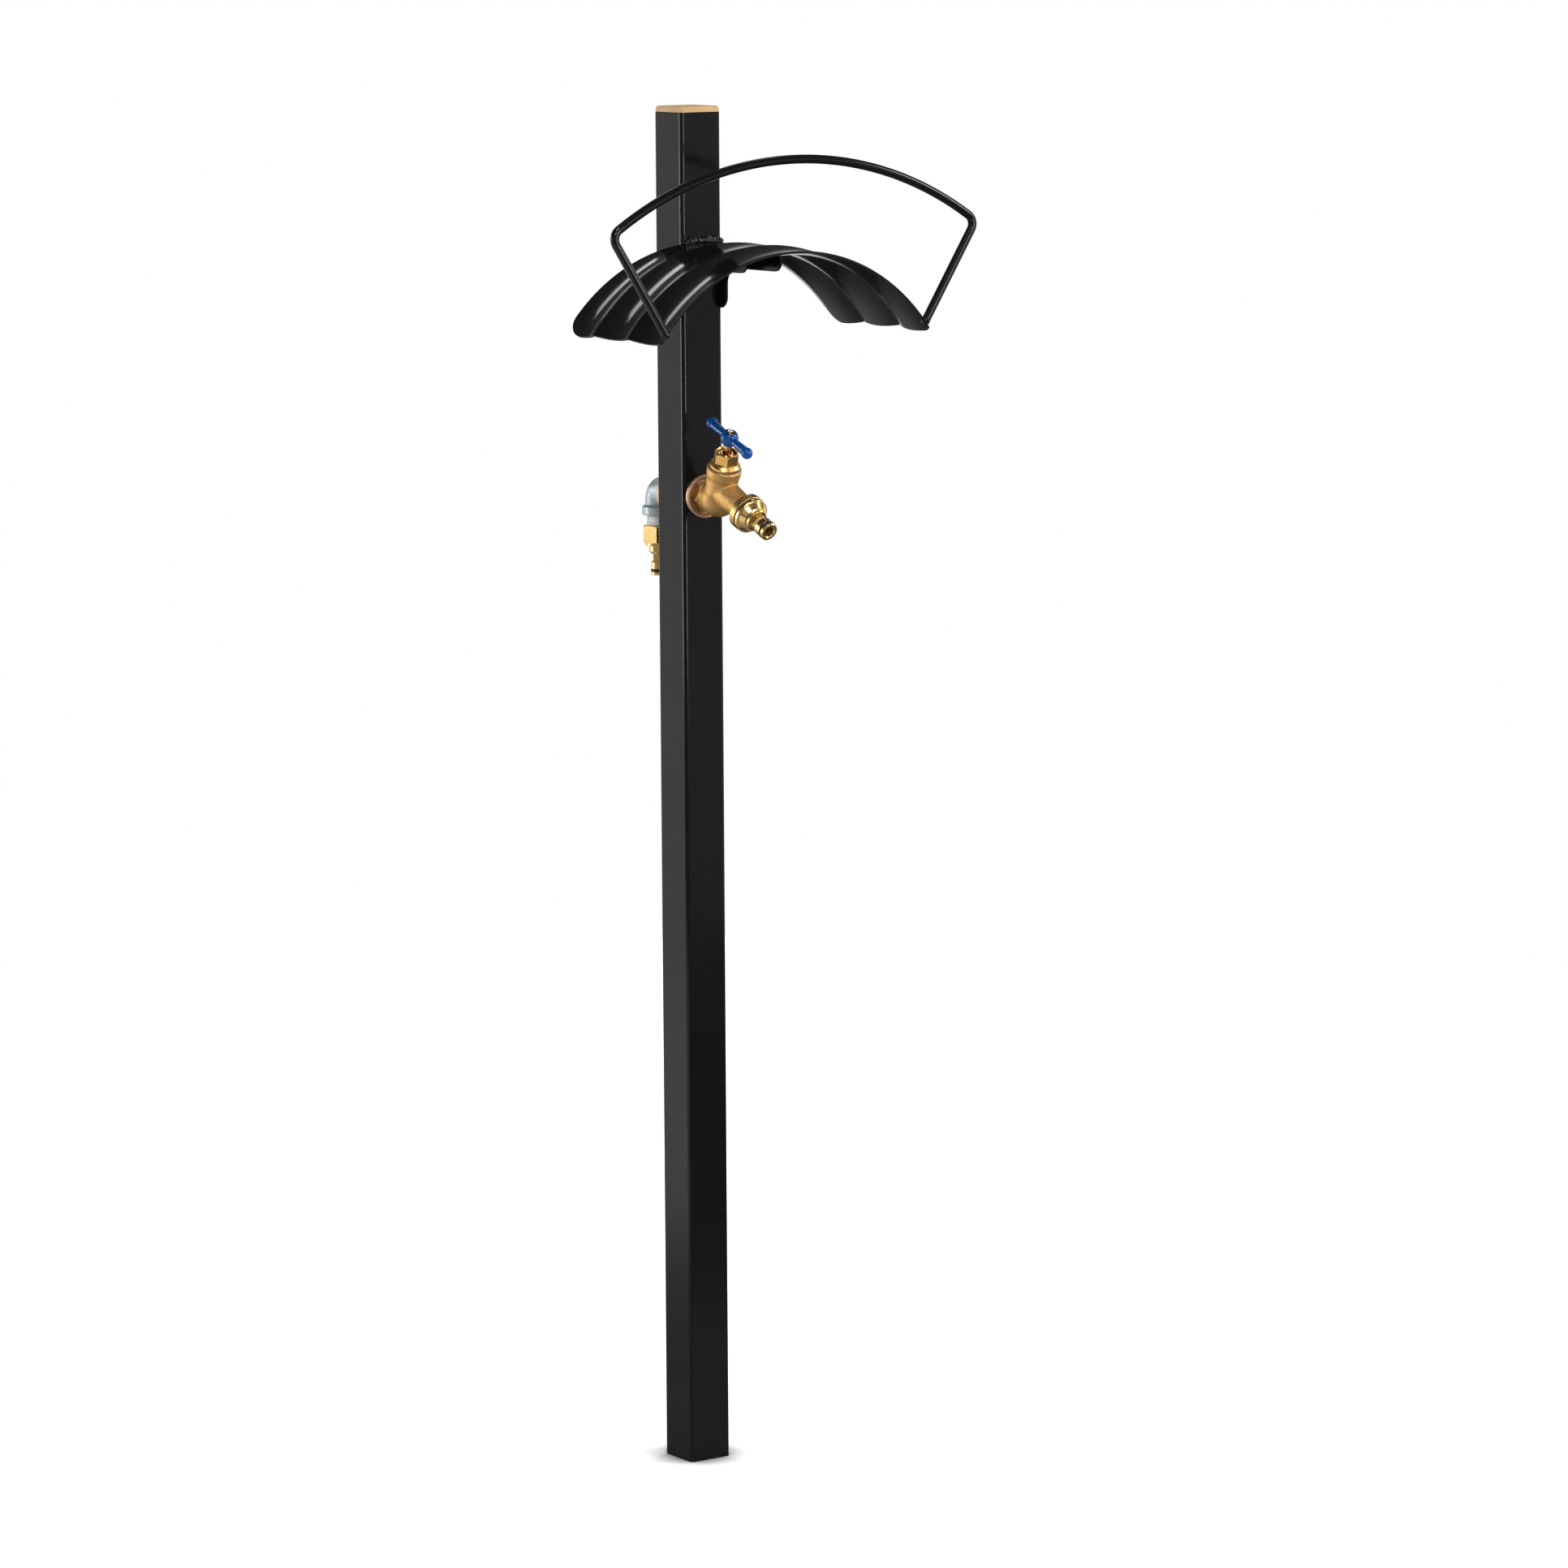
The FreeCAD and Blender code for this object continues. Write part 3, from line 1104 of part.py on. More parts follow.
# Adapter below the elbow, with tape on its thread and a coupling nose for the supply hose
def make_adapter():
    core = turned("adapter_core", drop_frame, [
        ("0", "-" + screwed_in),
        ("sizes.threadRadius", "-" + screwed_in),
        ("sizes.threadRadius", hexagon_end),
        (elbow_radius, hexagon_end),
        (elbow_radius, step_end),
        ("sizes.adapterBand", step_end + " + sizes.edgeBreak"),
        ("sizes.adapterBand", band_end),
        ("sizes.adapterConeEnd", inlet_nose),
        ("0", inlet_nose),
    ])
    turned_frame = drop_frame + " * " + at("0", "0", "0", turn="sizes.adapterTurnAngle")
    hexagon = nut_hexagon("adapter_hexagon", turned_frame, "sizes.adapterHexAcross", "sizes.tapeLength",
                          hexagon_end)
    solids = [core, hexagon] + nose_solids("inlet_nose", drop_frame, inlet_nose)
    passage = nose_passage("adapter_passage", drop_frame, "-" + screwed_in + short_of, inlet_nose)
    keep("inlet_adapter", cut("adapter_bored", fuse("adapter_solid", solids), passage))
    keep("thread_tape", ring("thread_tape", drop_frame, "sizes.threadRadius + sizes.tapeThickness",
                             "sizes.threadRadius", "0", "sizes.tapeLength"))
    nose_ring("inlet_o_ring", drop_frame, inlet_nose)


post = make_post()
make_cap()
saddle = make_saddle()
bracket = make_bracket()
make_guard_and_welds()
make_beads(post, bracket, saddle)
make_wall_flanges()
make_tap_body()
make_bonnet()
make_valve()
make_spindle()
make_handle()
make_outlet()
make_pipe()
make_elbow()
make_adapter()
doc.recompute()

# Nothing is written unless every object and every piece is sound
for item in doc.Objects:
    if "Invalid" in item.State or "Error" in item.State:
        raise RuntimeError(item.Label + " failed to recompute")
for node in nodes:
    if node.Shape.isNull() or not node.Shape.isValid():
        raise RuntimeError(node.Label + " has no valid shape")
for node in nodes:
    node.Shape.exportStep(os.path.join("parts", node.Label + ".step"))
    print(node.Label, len(node.Shape.Solids), "solids,", round(node.Shape.Volume), "cubic mm")
print(len(nodes), "pieces written")
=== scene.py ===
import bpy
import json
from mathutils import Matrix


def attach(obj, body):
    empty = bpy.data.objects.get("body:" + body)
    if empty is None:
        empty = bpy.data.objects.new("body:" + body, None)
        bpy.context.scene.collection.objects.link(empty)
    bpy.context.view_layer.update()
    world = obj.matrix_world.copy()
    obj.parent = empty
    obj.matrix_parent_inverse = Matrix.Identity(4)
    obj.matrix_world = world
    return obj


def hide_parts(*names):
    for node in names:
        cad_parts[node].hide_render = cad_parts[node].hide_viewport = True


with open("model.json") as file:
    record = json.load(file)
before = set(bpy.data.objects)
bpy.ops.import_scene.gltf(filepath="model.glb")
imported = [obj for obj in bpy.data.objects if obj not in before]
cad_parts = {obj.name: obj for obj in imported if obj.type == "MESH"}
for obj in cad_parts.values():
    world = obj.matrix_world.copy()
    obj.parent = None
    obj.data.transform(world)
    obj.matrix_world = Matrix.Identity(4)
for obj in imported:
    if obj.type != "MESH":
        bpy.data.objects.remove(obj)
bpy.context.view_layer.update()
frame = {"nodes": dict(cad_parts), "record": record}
print("frame loaded:", len(frame["nodes"]), "nodes")

import json
import math
import random

import bmesh
import bpy
from mathutils import Matrix, Vector, noise

scene = bpy.context.scene
nodes = frame["nodes"]
random.seed(11)


# Camera where the photographer stood, a long lens a little above the saddle
camera = {
    "place": (-2.839, -4.1783, 1.3304),
    "heading": 35.0735,    # degrees from +Y towards +X
    "dip": 8.4161,         # degrees below the horizon
    "roll": 0.3262,
    "lens": 138.4,         # millimetres, as the sensor
    "sensor": 36.0,
    "farthest": 400,       # metres that it still sees
}


def makeCamera(view):
    data = bpy.data.cameras.new("studioCamera")
    data.lens = view["lens"]
    data.sensor_width = view["sensor"]
    data.clip_end = view["farthest"]
    tripod = bpy.data.objects.new("studioCamera", data)
    scene.collection.objects.link(tripod)
    turn = Matrix.Rotation(math.radians(-view["heading"]), 3, "Z")
    turn = turn @ Matrix.Rotation(math.radians(90 - view["dip"]), 3, "X")
    turn = turn @ Matrix.Rotation(math.radians(-view["roll"]), 3, "Z")
    tripod.matrix_world = Matrix.Translation(view["place"]) @ turn.to_4x4()
    scene.camera = tripod


makeCamera(camera)
scene.view_settings.view_transform = "Standard"
print("camera placed")


# Helpers that add and link shader nodes
class ShaderTree:
    def __init__(self, tree):
        self.tree = tree
        tree.nodes.clear()

    def add(self, kind, **settings):
        node = self.tree.nodes.new(kind)
        for key, value in settings.items():
            setattr(node, key, value)
        return node

    def link(self, source, target):
        self.tree.links.new(source, target)

    def feed(self, socket, value):
        if isinstance(value, bpy.types.NodeSocket):
            self.link(value, socket)
        else:
            socket.default_value = value

    def coords(self, stretch=(1, 1, 1)):
        place = self.add("ShaderNodeTexCoord")
        mapping = self.add("ShaderNodeMapping")
        self.link(place.outputs["Object"], mapping.inputs["Vector"])
        mapping.inputs["Scale"].default_value = stretch
        return mapping.outputs["Vector"]

    def noise(self, scale, detail=3.0, rough=0.55, at=None):
        node = self.add("ShaderNodeTexNoise")
        self.link(at or self.coords(), node.inputs["Vector"])
        node.inputs["Scale"].default_value = scale
        node.inputs["Detail"].default_value = detail
        node.inputs["Roughness"].default_value = rough
        return node.outputs["Fac"]

    def cells(self, scale, out="Distance"):
        node = self.add("ShaderNodeTexVoronoi")
        self.link(self.coords(), node.inputs["Vector"])
        node.inputs["Scale"].default_value = scale
        return node.outputs[out]

    def fade(self, value, first, last, spot):
        # grey from first to last, reached where value is spot
        node = self.add("ShaderNodeValToRGB")
        self.link(value, node.inputs["Fac"])
        for element, place, grey in zip(node.color_ramp.elements, (0.0, spot), (first, last)):
            element.position = place
            element.color = (grey, grey, grey, 1)
        return node.outputs["Color"]

    def between(self, value, low, high, toLow, toHigh):
        node = self.add("ShaderNodeMapRange")
        for socket, number in zip(node.inputs[:5], (value, low, high, toLow, toHigh)):
            self.feed(socket, number)
        return node.outputs["Result"]

    def spread(self, value, low, high):
        # the middle of a noise, where most of it lies, stretched over low to high
        return self.between(value, 0.3, 0.7, low, high)

    def patches(self, value, most=1.0):
        # a noise's upper part as soft patches
        return self.between(value, 0.35, 0.7, 0.0, most)

    def maths(self, kind, first, second):
        node = self.add("ShaderNodeMath", operation=kind)
        self.feed(node.inputs[0], first)
        self.feed(node.inputs[1], second)
        return node.outputs["Value"]

    def mix(self, amount, first, second):
        node = self.add("ShaderNodeMix", data_type="RGBA")
        self.feed(node.inputs["Factor"], amount)
        for socket, colour in ((node.inputs[6], first), (node.inputs[7], second)):    # its colour sockets
            self.feed(socket, (*colour, 1) if isinstance(colour, tuple) else colour)
        return node.outputs[2]

    def bump(self, height, depth, normal=None, strength=1.0):
        node = self.add("ShaderNodeBump")
        node.inputs["Strength"].default_value = strength
        node.inputs["Distance"].default_value = depth
        self.link(height, node.inputs["Height"])
        if normal:
            self.link(normal, node.inputs["Normal"])
        return node.outputs["Normal"]

    def edges(self, radius):
        node = self.add("ShaderNodeBevel", samples=4)
        node.inputs["Radius"].default_value = radius
        return node.outputs["Normal"]

    def paintedShadeAndOxide(self, reach, amount, closed=0.25, clear=0.9):
        # amount where a corner is closed, and none where the surface lies clear: the mask of painted shade
        # in corners and creases, and of the oxide deep in bores
        node = self.add("ShaderNodeAmbientOcclusion", samples=6)
        node.inputs["Distance"].default_value = reach
        return self.between(node.outputs["AO"], closed, clear, amount, 0.0)

    def surface(self, **sockets):
        shader = self.add("ShaderNodeBsdfPrincipled")
        names = {
            "colour": "Base Color", "metal": "Metallic", "rough": "Roughness", "normal": "Normal",
            "specular": "Specular IOR Level", "scatter": "Subsurface Weight",
        }
        for key, value in sockets.items():
            if key == "colour" and isinstance(value, tuple):
                value = (*value, 1)
            self.feed(shader.inputs[names[key]], value)
        out = self.add("ShaderNodeOutputMaterial")
        self.link(shader.outputs["BSDF"], out.inputs["Surface"])
        return shader


def newMaterial(name):
    material = bpy.data.materials.new(name)
    material.use_nodes = True
    return material, ShaderTree(material.node_tree)


# Studio: pale floor, white backdrop behind, darker room on the camera's side
studio = {
    "floorRadius": 2.6,
    "floorSegments": 96,
    "floorColour": 0.86,
    "floorRough": 0.9,
    "floorSpecular": 0.1,
    "floorInMetal": 0.30,             # painted shade: the floor near the post, as dark as metal and gloss see it
    "farFloor": (0.03, 0.20),         # further out, on the dark side and on the lit one
    "farFrom": (0.4, 1.0),            # metres from the post
    "litTurn": -70.0,                 # heading of the side where metal and gloss see the floor's painted glow
    "litEdge": (-0.1, 0.95),          # metres towards it
    # strength of that painted glow, seen only in metal and gloss
    "floorShine": 0.8,
    "floorGlow": (0.26, 1.0),         # at the foot, and from fadeEnd outwards
    "fadeEnd": 0.7,
    "contact": (0.03, 0.8),           # reach and depth of the soft shadow where the post stands
    "contactEdge": (0.5, 1.0),        # how open the floor lies in the shadow's core and at its edge
    "ambient": 0.42,
    "ceiling": 0.10,
    "whiteUpTo": 0.10,                # sine of the angle above the horizon where the white ends
    "darkFrom": 0.30,
    "backdropTurn": 35.0,             # heading of the white backdrop's middle
    "backdropEdge": (-0.55, 0.05),    # cosine from that heading, dark and white
    "darkSide": (0.05, 0.45),         # well below the horizon, and from it upwards
    "darkDip": -0.19,
}

# Soft boxes: name, place, aim, width, height and watts
softBoxes = [
    ("backBox", (0.4, 2.7, 2.75), (0, -0.08, 1.0), 1.5, 0.36, 6),
    ("topBox", (-0.9, -1.3, 3.2), (0, -0.05, 0.9), 0.9, 0.9, 30),
    ("leftStrip", (-1.87, 1.6, 1.0), (0, 0, 0.9), 0.3, 1.3, 22),
    ("frontStrip", (0.7, -2.5, 1.0), (0, 0, 0.9), 0.28, 1.3, 26),
    ("rightBox", (2.3, -1.5, 2.0), (0, -0.05, 0.85), 0.7, 1.1, 34),
    ("cameraBox", (-1.9, -3.0, 2.7), (0, -0.05, 0.85), 1.1, 0.9, 38),
    ("highBox", (1.0, 0.7, 2.9), (0, -0.07, 0.88), 0.5, 0.5, 2.2),
]


def towards(tree, parts, heading):
    # how far a point or direction lies towards that heading
    turn = math.radians(heading)
    return tree.maths("ADD", tree.maths("MULTIPLY", parts.outputs["X"], math.sin(turn)),
                      tree.maths("MULTIPLY", parts.outputs["Y"], math.cos(turn)))


def seenInGlossOrGlass(tree, ray):
    return tree.maths("MAXIMUM", ray.outputs["Is Glossy Ray"], ray.outputs["Is Transmission Ray"])


def makeWorld(room):
    world = bpy.data.worlds.new("studioWorld")
    scene.world = world
    world.use_nodes = True
    tree = ShaderTree(world.node_tree)
    ray = tree.add("ShaderNodeLightPath")
    place = tree.add("ShaderNodeTexCoord")
    parts = tree.add("ShaderNodeSeparateXYZ")
    tree.link(place.outputs["Generated"], parts.inputs["Vector"])
    up = parts.outputs["Z"]
    level = tree.between(up, room["whiteUpTo"], room["darkFrom"], 1.0, room["ceiling"])
    dark = tree.between(up, room["darkDip"], 0.0, *room["darkSide"])
    side = tree.between(towards(tree, parts, room["backdropTurn"]), *room["backdropEdge"], dark, 1.0)
    level = tree.maths("MULTIPLY", level, side)
    strength = tree.add("ShaderNodeMix", data_type="FLOAT")
    tree.feed(strength.inputs["Factor"], seenInGlossOrGlass(tree, ray))
    tree.feed(strength.inputs[2], room["ambient"])
    tree.feed(strength.inputs[3], level)
    background = tree.add("ShaderNodeBackground")
    background.inputs["Color"].default_value = (1, 1, 1, 1)
    bright = tree.maths("MAXIMUM", strength.outputs[0], ray.outputs["Is Camera Ray"])
    tree.link(bright, background.inputs["Strength"])
    out = tree.add("ShaderNodeOutputWorld")
    tree.link(background.outputs["Background"], out.inputs["Surface"])


def makeFloor(room):
    mesh = bpy.data.meshes.new("studioFloor")
    disc = bmesh.new()
    bmesh.ops.create_circle(disc, cap_ends=True, segments=room["floorSegments"],
                            radius=room["floorRadius"])
    disc.to_mesh(mesh)
    disc.free()
    floor = bpy.data.objects.new("studioFloor", mesh)
    scene.collection.objects.link(floor)
    material, tree = newMaterial("paleFloor")
    ray = tree.add("ShaderNodeLightPath")
    place = tree.add("ShaderNodeTexCoord")
    parts = tree.add("ShaderNodeSeparateXYZ")
    tree.link(place.outputs["Object"], parts.inputs["Vector"])
    lit = tree.between(towards(tree, parts, room["litTurn"]), *room["litEdge"], 0.0, 1.0)
    away = tree.add("ShaderNodeVectorMath", operation="LENGTH")
    tree.link(place.outputs["Object"], away.inputs[0])
    distance = away.outputs["Value"]
    far = tree.between(distance, *room["farFrom"], 0.0, 1.0)
    farFloor = tree.between(lit, 0.0, 1.0, *room["farFloor"])
    inMetal = tree.between(far, 0.0, 1.0, room["floorInMetal"], farFloor)
    # painted contact shadow: the floor's colour and its glow darken where the post stands
    unshaded = tree.maths("SUBTRACT", 1.0, tree.paintedShadeAndOxide(*room["contact"], *room["contactEdge"]))
    pale = tree.maths("MULTIPLY", unshaded, room["floorColour"])
    # painted shade: metal and gloss see the floor darker than the camera does
    colour = tree.mix(ray.outputs["Is Glossy Ray"], pale, inMetal)
    shader = tree.surface(colour=colour, rough=room["floorRough"], specular=room["floorSpecular"])
    glow = tree.between(distance, 0.0, room["fadeEnd"], *room["floorGlow"])
    glow = tree.maths("MULTIPLY", glow, ray.outputs["Is Camera Ray"])
    glow = tree.maths("MULTIPLY", glow, unshaded)
    # painted glow: far out on the lit side the floor shines in metal and gloss, though it is no lamp
    shine = tree.maths("MULTIPLY", tree.maths("MULTIPLY", far, lit), room["floorShine"])
    shine = tree.maths("MULTIPLY", shine, seenInGlossOrGlass(tree, ray))
    tree.link(tree.maths("ADD", glow, shine), shader.inputs["Emission Strength"])
    shader.inputs["Emission Color"].default_value = (1, 1, 1, 1)
    mesh.materials.append(material)


def makeSoftBox(name, place, aim, width, height, watts):
    data = bpy.data.lights.new(name, "AREA")
    data.shape = "RECTANGLE"
    data.size = width
    data.size_y = height
    data.energy = watts
    lamp = bpy.data.objects.new(name, data)
    scene.collection.objects.link(lamp)
    lamp.location = place
    lamp.rotation_euler = (Vector(aim) - Vector(place)).to_track_quat("-Z", "Y").to_euler()


makeWorld(studio)
makeFloor(studio)
for box in softBoxes:
    makeSoftBox(*box)
print("studio lit")


# Black gloss powder coat. All finishes have their scales per metre: a higher one is finer
blackCoat = {
    "colour": (0.0035, 0.0035, 0.0042),
    "cloud": (0.006, 0.006, 0.0075),
    "cloudScale": 9.0,
    "cloudMost": 0.5,
    "specular": 0.235,
    "rough": (0.08, 0.15),
    "peelScale": 420.0,         # orange peel
    "peelDepth": 0.000012,
    "waveScale": 60.0,          # slower waves under it
    "waveDepth": 0.000048,
    "waveStrength": 0.6,
    "dust": 0.02,
    "dustColour": (0.2, 0.2, 0.2),
    "dustScale": 900.0,
    "speck": 0.07,              # a speck's radius, as a share of its cell
    "edge": 0.0004,
}


def makeBlackCoat(look):
    material, tree = newMaterial("blackPowderCoat")
    broad = tree.noise(look["cloudScale"], detail=4.0)
    specks = tree.fade(tree.cells(look["dustScale"]), 1.0, 0.0, look["speck"])
    dusty = tree.maths("MULTIPLY", specks, look["dust"])
    colour = tree.mix(dusty, look["colour"], look["dustColour"])
    colour = tree.mix(tree.patches(broad, look["cloudMost"]), colour, look["cloud"])
    peel = tree.bump(tree.noise(look["peelScale"], detail=2.0), look["peelDepth"], tree.edges(look["edge"]))
    wave = tree.noise(look["waveScale"], detail=2.0)
    normal = tree.bump(wave, look["waveDepth"], peel, look["waveStrength"])
    tree.surface(colour=colour, rough=tree.spread(broad, *look["rough"]), normal=normal,
                 specular=look["specular"])
    return material


# Sandy casting
castSkin = {
    "light": (0.76, 0.485, 0.19),
    "dark": (0.52, 0.30, 0.095),
    "sand": (0.31, 0.165, 0.055),
    "cloudScale": 55.0,
    "cloudEdge": (0.3, 0.72),
    "grain": 1050.0,
    "grainDepth": 0.00022,
    "grainStrength": 0.8,
    "sandEdge": (0.35, 0.6),
    "sandMost": 0.5,
    "pitScale": 620.0,
    "pit": 0.22,               # a pit's radius, as a share of its cell
    "pitDepth": 0.00006,
    "pitStrength": 0.6,
    "paintedShadeAndOxide": (0.003, 0.6),     # reach and amount of the painted shade in creases and corners
    "rough": (0.48, 0.64),
}


def makeCastSkin(look):
    material, tree = newMaterial("castBrass")
    broad = tree.noise(look["cloudScale"], detail=5.0, rough=0.6)
    sand = tree.noise(look["grain"], detail=3.0, rough=0.65)
    pits = tree.fade(tree.cells(look["pitScale"]), 0.0, 1.0, look["pit"])
    colour = tree.mix(tree.between(broad, *look["cloudEdge"], 0.0, 1.0), look["light"], look["dark"])
    sandy = tree.between(sand, *look["sandEdge"], look["sandMost"], 0.0)
    colour = tree.mix(sandy, colour, look["sand"])
    # painted shade: creases and corners of the casting darken to the sand colour
    colour = tree.mix(tree.paintedShadeAndOxide(*look["paintedShadeAndOxide"]), colour, look["sand"])
    pitted = tree.bump(pits, look["pitDepth"], None, look["pitStrength"])
    normal = tree.bump(sand, look["grainDepth"], pitted, look["grainStrength"])
    tree.surface(colour=colour, metal=1.0, rough=tree.spread(sand, *look["rough"]), normal=normal)
    return material


# Brass finishes, and what all of them share
brass = {
    "turnedBrass": {"light": (0.86, 0.54, 0.19), "dark": (0.64, 0.36, 0.10), "rough": (0.26, 0.4)},
    "polishedBrass": {"light": (0.88, 0.61, 0.25), "dark": (0.70, 0.45, 0.15), "rough": (0.17, 0.29)},
    "darkBrass": {"light": (0.58, 0.37, 0.145), "dark": (0.35, 0.205, 0.07), "rough": (0.3, 0.46)},
    "copperBrass": {"light": (0.72, 0.40, 0.18), "dark": (0.46, 0.21, 0.08), "rough": (0.18, 0.3)},
    "flangeBronze": {"light": (0.68, 0.45, 0.29), "dark": (0.49, 0.285, 0.16), "rough": (0.5, 0.64)},
}
turning = {
    "cloudScale": 70.0,
    "lineScale": 900.0,
    "lineStretch": (0.25, 2.2, 1.2),
    "lineDepth": 0.000008,
    "stainScale": 210.0,
    "stainEdge": (0.56, 0.74),
    "stainMost": 0.35,
    "stainTone": 0.4,                    # share of the dark colour
    "paintedShadeAndOxide": (0.002, 0.7),               # reach and amount of the painted shade in corners
    "bore": (0.012, 1.0, 0.04, 0.30),    # reach and amount of the oxide deep in bores, and how open it lies at full oxide and at none
    "oxide": (0.15, 0.045, 0.016),
    "oxideRough": 0.6,
    "edge": 0.00035,
}


def makeTurned(name, look, cut):
    material, tree = newMaterial(name)
    broad = tree.noise(cut["cloudScale"], detail=4.0)
    lines = tree.noise(cut["lineScale"], detail=2.0, rough=0.5, at=tree.coords(cut["lineStretch"]))
    stain = tree.noise(cut["stainScale"], detail=4.0, rough=0.65)
    deep = tuple(value * cut["stainTone"] for value in look["dark"])
    colour = tree.mix(tree.patches(broad), look["light"], look["dark"])
    colour = tree.mix(tree.between(stain, *cut["stainEdge"], 0.0, cut["stainMost"]), colour, deep)
    # painted shade: corners darken towards the deep stain colour
    colour = tree.mix(tree.paintedShadeAndOxide(*cut["paintedShadeAndOxide"]), colour, deep)
    bore = tree.paintedShadeAndOxide(*cut["bore"])
    colour = tree.mix(bore, colour, cut["oxide"])
    rough = tree.spread(lines, *look["rough"])
    rough = tree.maths("MAXIMUM", rough, tree.maths("MULTIPLY", bore, cut["oxideRough"]))
    normal = tree.bump(lines, cut["lineDepth"], tree.edges(cut["edge"]))
    metal = tree.maths("SUBTRACT", 1.0, bore)
    tree.surface(colour=colour, metal=metal, rough=rough, normal=normal)
    return material


# Blue enamel on the handle
blueEnamel = {
    "colour": (0.0, 0.062, 0.26),
    "deep": (0.0, 0.038, 0.17),
    "cloudScale": 90.0,
    "rough": (0.16, 0.26),
    "rippleScale": 700.0,
    "rippleDepth": 0.00002,
    "edge": 0.0003,
    "specular": 0.34,
}


def makeBlueEnamel(look):
    material, tree = newMaterial("blueEnamel")
    broad = tree.noise(look["cloudScale"], detail=3.0)
    colour = tree.mix(tree.patches(broad), look["colour"], look["deep"])
    ripple = tree.noise(look["rippleScale"], detail=2.0)
    normal = tree.bump(ripple, look["rippleDepth"], tree.edges(look["edge"]))
    tree.surface(colour=colour, rough=tree.spread(broad, *look["rough"]), normal=normal,
                 specular=look["specular"])
    return material


# Zinc coats with their faint crystals, and what both share
zinc = {
    "galvanisedSteel": {"light": (0.34, 0.36, 0.37), "dark": (0.23, 0.25, 0.265), "crystals": 900.0},
    "galvanisedIron": {"light": (0.42, 0.475, 0.485), "dark": (0.27, 0.315, 0.325), "crystals": 1500.0},
}
dipping = {
    "crystalMost": 0.4,
    "cloudScale": 60.0,
    "cloudEdge": (0.45, 0.75),
    "cloudMost": 0.6,
    "cloudDepth": 0.0004,
    "cloudStrength": 0.5,
    "skinScale": 900.0,
    "skinDepth": 0.00006,
    "skinStrength": 0.7,
    # reach and amount of the painted shade in corners, and its colour
    "paintedShadeAndOxide": (0.003, 0.6),
    "paintedShadeColour": (0.08, 0.085, 0.085),
    "rough": (0.4, 0.6),
    "metal": 0.75,
    "edge": 0.0006,
}


def makeZinc(name, look, bath):
    material, tree = newMaterial(name)
    crystal = tree.cells(look["crystals"], "Color")
    broad = tree.noise(bath["cloudScale"], detail=5.0, rough=0.62)
    skin = tree.noise(bath["skinScale"], detail=3.0)
    tint = tree.add("ShaderNodeSeparateColor")
    tree.link(crystal, tint.inputs["Color"])
    sparkle = tree.between(tint.outputs["Red"], 0.0, 1.0, 0.0, bath["crystalMost"])
    colour = tree.mix(sparkle, look["light"], look["dark"])
    clouded = tree.between(broad, *bath["cloudEdge"], 0.0, bath["cloudMost"])
    colour = tree.mix(clouded, colour, look["dark"])
    # painted shade: corners darken to the painted shade colour
    colour = tree.mix(tree.paintedShadeAndOxide(*bath["paintedShadeAndOxide"]), colour, bath["paintedShadeColour"])
    rough = tree.between(tint.outputs["Green"], 0.0, 1.0, *bath["rough"])
    slow = tree.bump(broad, bath["cloudDepth"], tree.edges(bath["edge"]), bath["cloudStrength"])
    normal = tree.bump(skin, bath["skinDepth"], slow, bath["skinStrength"])
    tree.surface(colour=colour, metal=bath["metal"], rough=rough, normal=normal)
    return material


# Tan plastic of the cap
tanPlastic = {
    "light": (0.49, 0.305, 0.145),
    "dark": (0.41, 0.25, 0.115),
    "cloudScale": 120.0,
    "grain": 2600.0,
    "grainDepth": 0.00003,
    "rough": (0.42, 0.56),
    "specular": 0.4,
}


def makeTanPlastic(look):
    material, tree = newMaterial("tanPlastic")
    broad = tree.noise(look["cloudScale"], detail=4.0)
    fine = tree.noise(look["grain"], detail=2.0)
    colour = tree.mix(tree.patches(broad), look["light"], look["dark"])
    tree.surface(colour=colour, rough=tree.spread(fine, *look["rough"]),
                 normal=tree.bump(fine, look["grainDepth"]), specular=look["specular"])
    return material


# Rubber of the rings, washers and the outlet's gasket
blackRubber = {
    "dark": (0.008, 0.008, 0.008),
    "worn": (0.016, 0.015, 0.014),
    "grain": 1800.0,
    "grainDepth": 0.00002,
    "rough": (0.32, 0.5),
    "specular": 0.4,
}


def makeRubber(look):
    material, tree = newMaterial("blackRubber")
    fine = tree.noise(look["grain"], detail=3.0)
    colour = tree.mix(tree.spread(fine, 0.0, 1.0), look["dark"], look["worn"])
    tree.surface(colour=colour, rough=tree.spread(fine, *look["rough"]),
                 normal=tree.bump(fine, look["grainDepth"]), specular=look["specular"])
    return material


# Fibre of the bonnet's seal and the gland's packing
sealingFibre = {
    "dark": (0.13, 0.055, 0.02),
    "light": (0.26, 0.12, 0.05),
    "strands": 1400.0,
    "stretch": (1, 1, 0.2),
    "depth": 0.0001,
    "rough": (0.7, 0.9),
}


def makeFibre(look):
    material, tree = newMaterial("sealingFibre")
    strands = tree.noise(look["strands"], detail=4.0, rough=0.7, at=tree.coords(look["stretch"]))
    colour = tree.mix(strands, look["dark"], look["light"])
    tree.surface(colour=colour, rough=tree.spread(strands, *look["rough"]),
                 normal=tree.bump(strands, look["depth"]))
    return material


# Bright screw in the handle
brightScrew = {
    "light": (0.92, 0.92, 0.91),
    "dark": (0.75, 0.75, 0.75),
    "lineScale": 1600.0,
    "lineDepth": 0.00001,
    # reach and amount of the painted shade in the screw's recesses, and its colour
    "paintedShadeAndOxide": (0.001, 0.9),
    "paintedShadeColour": (0.05, 0.05, 0.05),
    "rough": (0.08, 0.2),
    "edge": 0.0002,
}


